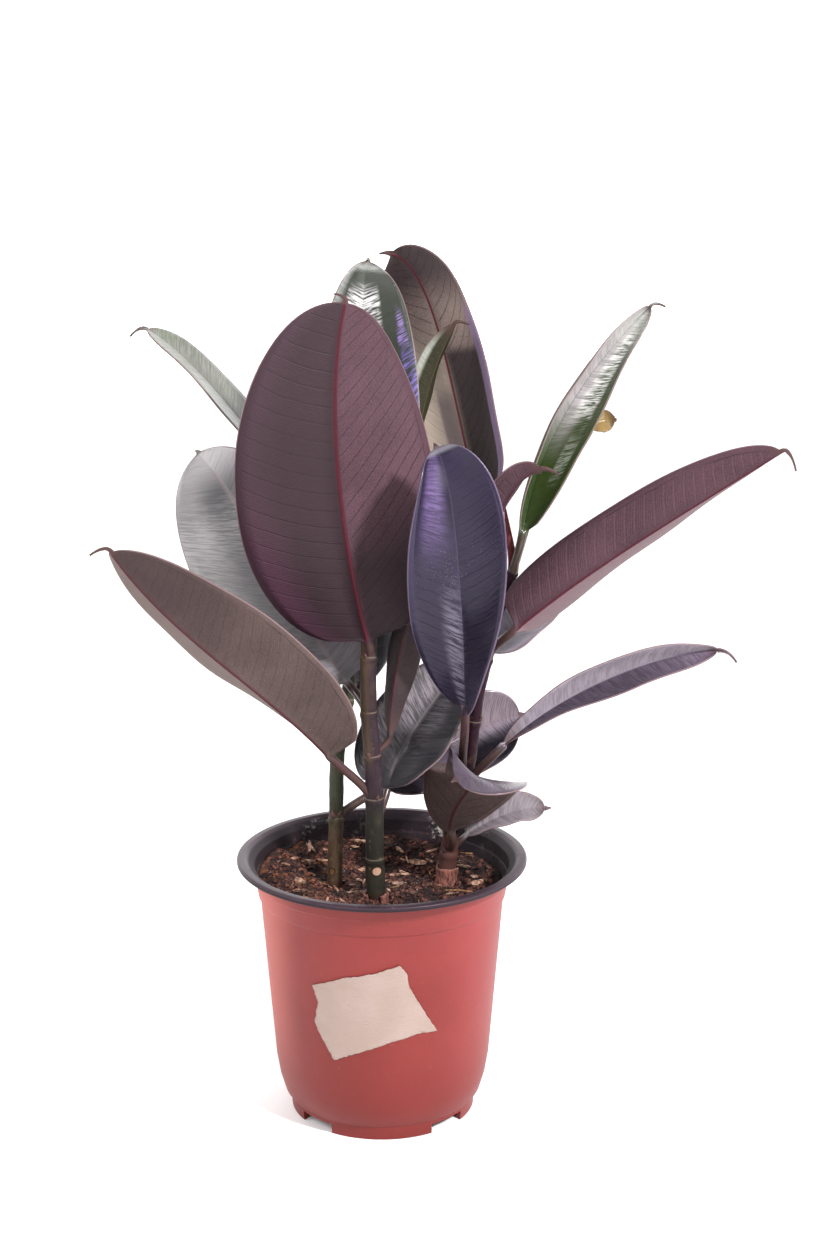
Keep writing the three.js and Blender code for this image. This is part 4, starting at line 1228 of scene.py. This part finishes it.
# Fibres: thin bent straws swept with a six-sided section
def fibresMesh(name):
    rng = random.Random(soil["fibreSeed"])
    bm = bmesh.new()
    steps = soil["fibreSteps"]
    for _ in range(soil["fibres"]):
        x, y = onSoil(rng, 0.88)
        heading = rng.uniform(0, 6.28)
        length = rng.uniform(7, 20)
        made = bmesh.ops.create_circle(bm, cap_ends=True, segments=6, radius=rng.uniform(0.25, 0.45) * mm)
        face = made["verts"][0].link_faces[0]
        point = Vector((x, y, soilSurface(x, y) + crumbly(x, y) + 0.5))
        rise = rng.uniform(0.0, 0.5)
        turn = Matrix.Rotation(heading, 4, "Z") @ Matrix.Rotation(math.pi / 2, 4, "Y")
        bmesh.ops.transform(bm, matrix=Matrix.Translation(point * mm) @ turn, verts=made["verts"])
        bend = rng.uniform(-0.25, 0.25)
        for step in range(steps):
            made = bmesh.ops.extrude_face_region(bm, geom=[face])
            ring = [item for item in made["geom"] if isinstance(item, bmesh.types.BMVert)]
            face = next(item for item in made["geom"] if isinstance(item, bmesh.types.BMFace))
            heading += bend
            move = Vector((math.cos(heading), math.sin(heading), rise * (0.5 - step / steps)))
            move *= length / steps
            point += move
            if point.xy.length > soilRadius(soil["grainsAt"]) - 2:  # it stops before the wall
                move *= 0
            bmesh.ops.translate(bm, vec=move * mm, verts=ring)
    bmesh.ops.remove_doubles(bm, verts=bm.verts, dist=closeBy)
    bmesh.ops.recalc_face_normals(bm, faces=bm.faces)
    return toMesh(bm, name)


def soilFinish(name, dark, light, rough=0.9, scale=260.0):
    finish = Finish(name)
    place = finish.place
    x, _, _ = finish.parts(place)
    lumps = finish.grain(place, scale, 5.0, 0.7)
    patchy = finish.grain(place, 85.0, 3.0)
    # partly orange-tan bits, partly painted light: the left of the soil lighter and more orange
    orangeAndLitLeft = finish.grain(place, 120.0, 3.0).ramp(0.5, 0.68) * x.ramp(0.0, -0.05) * lumps.ramp(0.4, 0.58)
    tone = finish.coats(
        finish.mottled(lumps.ramp(0.4, 0.62), dark, light), (patchy.ramp(0.42, 0.62) * 0.75, (20, 12, 14)),
        (orangeAndLitLeft * 0.6, (146, 88, 58)))
    return finish.close(
        Base_Color=tone, Roughness=rough, Specular_IOR_Level=0.25, Normal=finish.bump(lumps, 0.0016, 1.0))


peat = soilFinish("damp peat", (18, 10, 11), (62, 35, 31))
crumbs = soilFinish("peat crumbs", (20, 11, 12), (118, 73, 62), scale=520.0)
bark = soilFinish("bark splinters", (124, 84, 70), (212, 174, 148), 0.8, 380.0)
straw = soilFinish("straw fibres", (134, 90, 60), (176, 138, 96), 0.75, 500.0)
grit = soilFinish("pale grit", (104, 94, 90), (175, 168, 162), 0.8, 600.0)
finished("soilBody", soilMesh(), [peat], "potting_soil")
for name, mesh, finish, smooth in (
        ("soilCrumbs", lumpsMesh("soilCrumbs", *soil["crumbs"]), crumbs, False),
        ("soilFines", lumpsMesh("soilFines", *soil["fines"]), crumbs, False),
        ("soilSplinters", splintersMesh("soilSplinters"), bark, False),
        ("soilFibres", fibresMesh("soilFibres"), straw, True),
        ("soilGrit", lumpsMesh("soilGrit", *soil["grit"]), grit, False)):
    finished(name, mesh, [finish], None, smooth)
print("soil made")


# Label: torn crepe tape, bare. Millimetres; [x, z] of its outline, which is cut in small steps across and
# up, and laid on the cone of the wall
tape = {
    "outline": ((-39, 98), (-22, 106), (-5, 110), (11, 115), (15, 110), (16, 102), (22, 90), (32, 71),
                (21, 71), (6, 67), (-17, 58), (-27, 53), (-36, 70), (-38, 75), (-36, 88)),
    "gap": 0.3,
    "thickness": 0.55,
    "step": 1.4,
    "tear": 0.5,
    "tearCuts": 9,
    "across": (-40, 34),
    "up": (52, 116),
    "seed": 3,
    "grainTurn": 17,
    "tones": ((143, 124, 115), (150, 131, 124)),
}


def tapeMesh():
    rng = random.Random(tape["seed"])
    bm = bmesh.new()
    corners = [bm.verts.new(Vector((x, 0, z))) for x, z in tape["outline"]]
    bm.faces.new(corners)
    bmesh.ops.subdivide_edges(bm, edges=bm.edges[:], cuts=tape["tearCuts"])
    for vert in bm.verts:
        vert.co.x += rng.uniform(-0.5, 0.5) * tape["tear"]
        vert.co.z += rng.uniform(-0.5, 0.5) * tape["tear"]
    for axis, (low, high) in ((Vector((1, 0, 0)), tape["across"]), (Vector((0, 0, 1)), tape["up"])):
        cuts = int((high - low) / tape["step"])
        for i in range(cuts):
            place = axis * (low + (high - low) * (i + 0.5) / cuts)
            bmesh.ops.bisect_plane(
                bm, geom=bm.verts[:] + bm.edges[:] + bm.faces[:], plane_co=place, plane_no=axis)
    for vert in bm.verts:
        x, z = vert.co.x, vert.co.z
        crease = 0.06 * noise.noise(Vector((x * 0.16, z * 0.9, 0)))
        crease += 0.05 * noise.noise(Vector((x * 0.05, z * 0.4, 5)))
        reach = wallRadius(z) + tape["gap"] + tape["thickness"] + min(crease, 0.03)
        vert.co.y = -math.sqrt(reach ** 2 - x ** 2)
    bmesh.ops.scale(bm, vec=(mm, mm, mm), verts=bm.verts)
    bm.normal_update()
    if sum(face.normal.y for face in bm.faces) > 0:
        bmesh.ops.reverse_faces(bm, faces=bm.faces)
    bmesh.ops.solidify(bm, geom=bm.faces[:], thickness=tape["thickness"] * mm)
    bmesh.ops.recalc_face_normals(bm, faces=bm.faces)
    return toMesh(bm, "tapeSheet")


def tapeFinish():
    finish = Finish("crepe paper tape")
    turn = (0, math.radians(tape["grainTurn"]), 0)
    crepe = finish.grain(finish.stretched((0.35, 1, 1.6), turn), 900.0, 4.0)
    clouds = finish.grain(finish.place, 45.0, 4.0)
    flecks = finish.grain(finish.place, 700.0, 3.0).ramp(0.66, 0.76)
    tone = finish.coats(
        finish.mottled(clouds.ramp(0.35, 0.7), *tape["tones"]),
        (crepe.ramp(0.45, 0.75) * 0.22, (132, 113, 103)), (flecks * 0.3, (124, 96, 85)))
    return finish.close(
        Base_Color=tone, Roughness=0.7, Normal=finish.bump(crepe + clouds * 0.5, 0.0005, 0.6))


finished("tapeSheet", tapeMesh(), [tapeFinish()], "masking_tape_label")
print("tape made")


# Floor, backdrop, light and camera. Metres; a light is a disc at a direction (azimuth, elevation) and
# distance from the leaves that it aims at
stage = {
    "floor": (0.92, 0.91, 0.91, 1.0),
    "floorSize": (24, 24),
    "sky": 0.39,
    "backdrop": {"away": 3.2, "size": (14, 8), "tone": (0.9, 0.9, 0.9, 1.0), "glow": 1.35},
    "camera": {"place": (0.020, -1.270, 0.624), "tilt": 75.5, "lens": 66.17, "sensor": 36},
    "aim": (0.02, 0, 0.3),
    "lights": {
        "key": {"azimuth": 312, "elevation": 35, "distance": 2.2, "size": 0.25, "power": 82},
        "panelFront": {"azimuth": 246, "elevation": 22, "distance": 1.9, "size": 1.3, "power": 16},
        "panelLeft": {"azimuth": 186, "elevation": 32, "distance": 1.7, "size": 0.8, "power": 14},
        "panelRight": {"azimuth": 350, "elevation": 4, "distance": 1.5, "size": 0.55, "power": 5},
    },
}
white = (1.0, 1.0, 1.0, 1.0)
collection = bpy.context.scene.collection


def addLight(name, lamp):
    light = bpy.data.lights.new(name, "AREA")
    light.shape = "DISK"
    light.size = lamp["size"]
    light.energy = lamp["power"]
    panel = bpy.data.objects.new(name, light)
    ray = facing(lamp["azimuth"], lamp["elevation"])
    panel.location = Vector(stage["aim"]) + ray * lamp["distance"]
    panel.rotation_euler = ray.to_track_quat("Z", "Y").to_euler()
    collection.objects.link(panel)


def addSheet(name, matrix, size, finish):
    bm = bmesh.new()
    bmesh.ops.create_grid(bm, x_segments=1, y_segments=1, size=0.5)
    bmesh.ops.transform(bm, matrix=matrix @ Matrix.Diagonal((*size, 1, 1)), verts=bm.verts)
    sheet = bpy.data.objects.new(name, toMesh(bm, name))
    collection.objects.link(sheet)
    sheet.data.materials.append(finish)


drop = stage["backdrop"]
upright = Matrix.Translation((0, drop["away"], drop["size"][1] / 2)) @ Matrix.Rotation(math.pi / 2, 4, "X")
paleFloor = Finish("pale floor").close(Base_Color=stage["floor"], Roughness=0.8)
whiteDrop = Finish("white backdrop").close(
    Base_Color=drop["tone"], Emission_Color=white, Emission_Strength=drop["glow"])
addSheet("floor", Matrix.Identity(4), stage["floorSize"], paleFloor)
addSheet("backdrop", upright, drop["size"], whiteDrop)
for name, lamp in stage["lights"].items():
    addLight(name, lamp)

world = bpy.data.worlds.new("pale studio")
world.use_nodes = True
background = world.node_tree.nodes["Background"]
background.inputs["Color"].default_value = white
background.inputs["Strength"].default_value = stage["sky"]
bpy.context.scene.world = world
bpy.context.scene.view_settings.view_transform = "Standard"

view = stage["camera"]
camera = bpy.data.objects.new("camera", bpy.data.cameras.new("camera"))
camera.data.sensor_width = view["sensor"]
camera.data.lens = view["lens"]
camera.location = view["place"]
camera.rotation_euler = (math.radians(view["tilt"]), 0, 0)
collection.objects.link(camera)
bpy.context.scene.camera = camera
print("stage set")
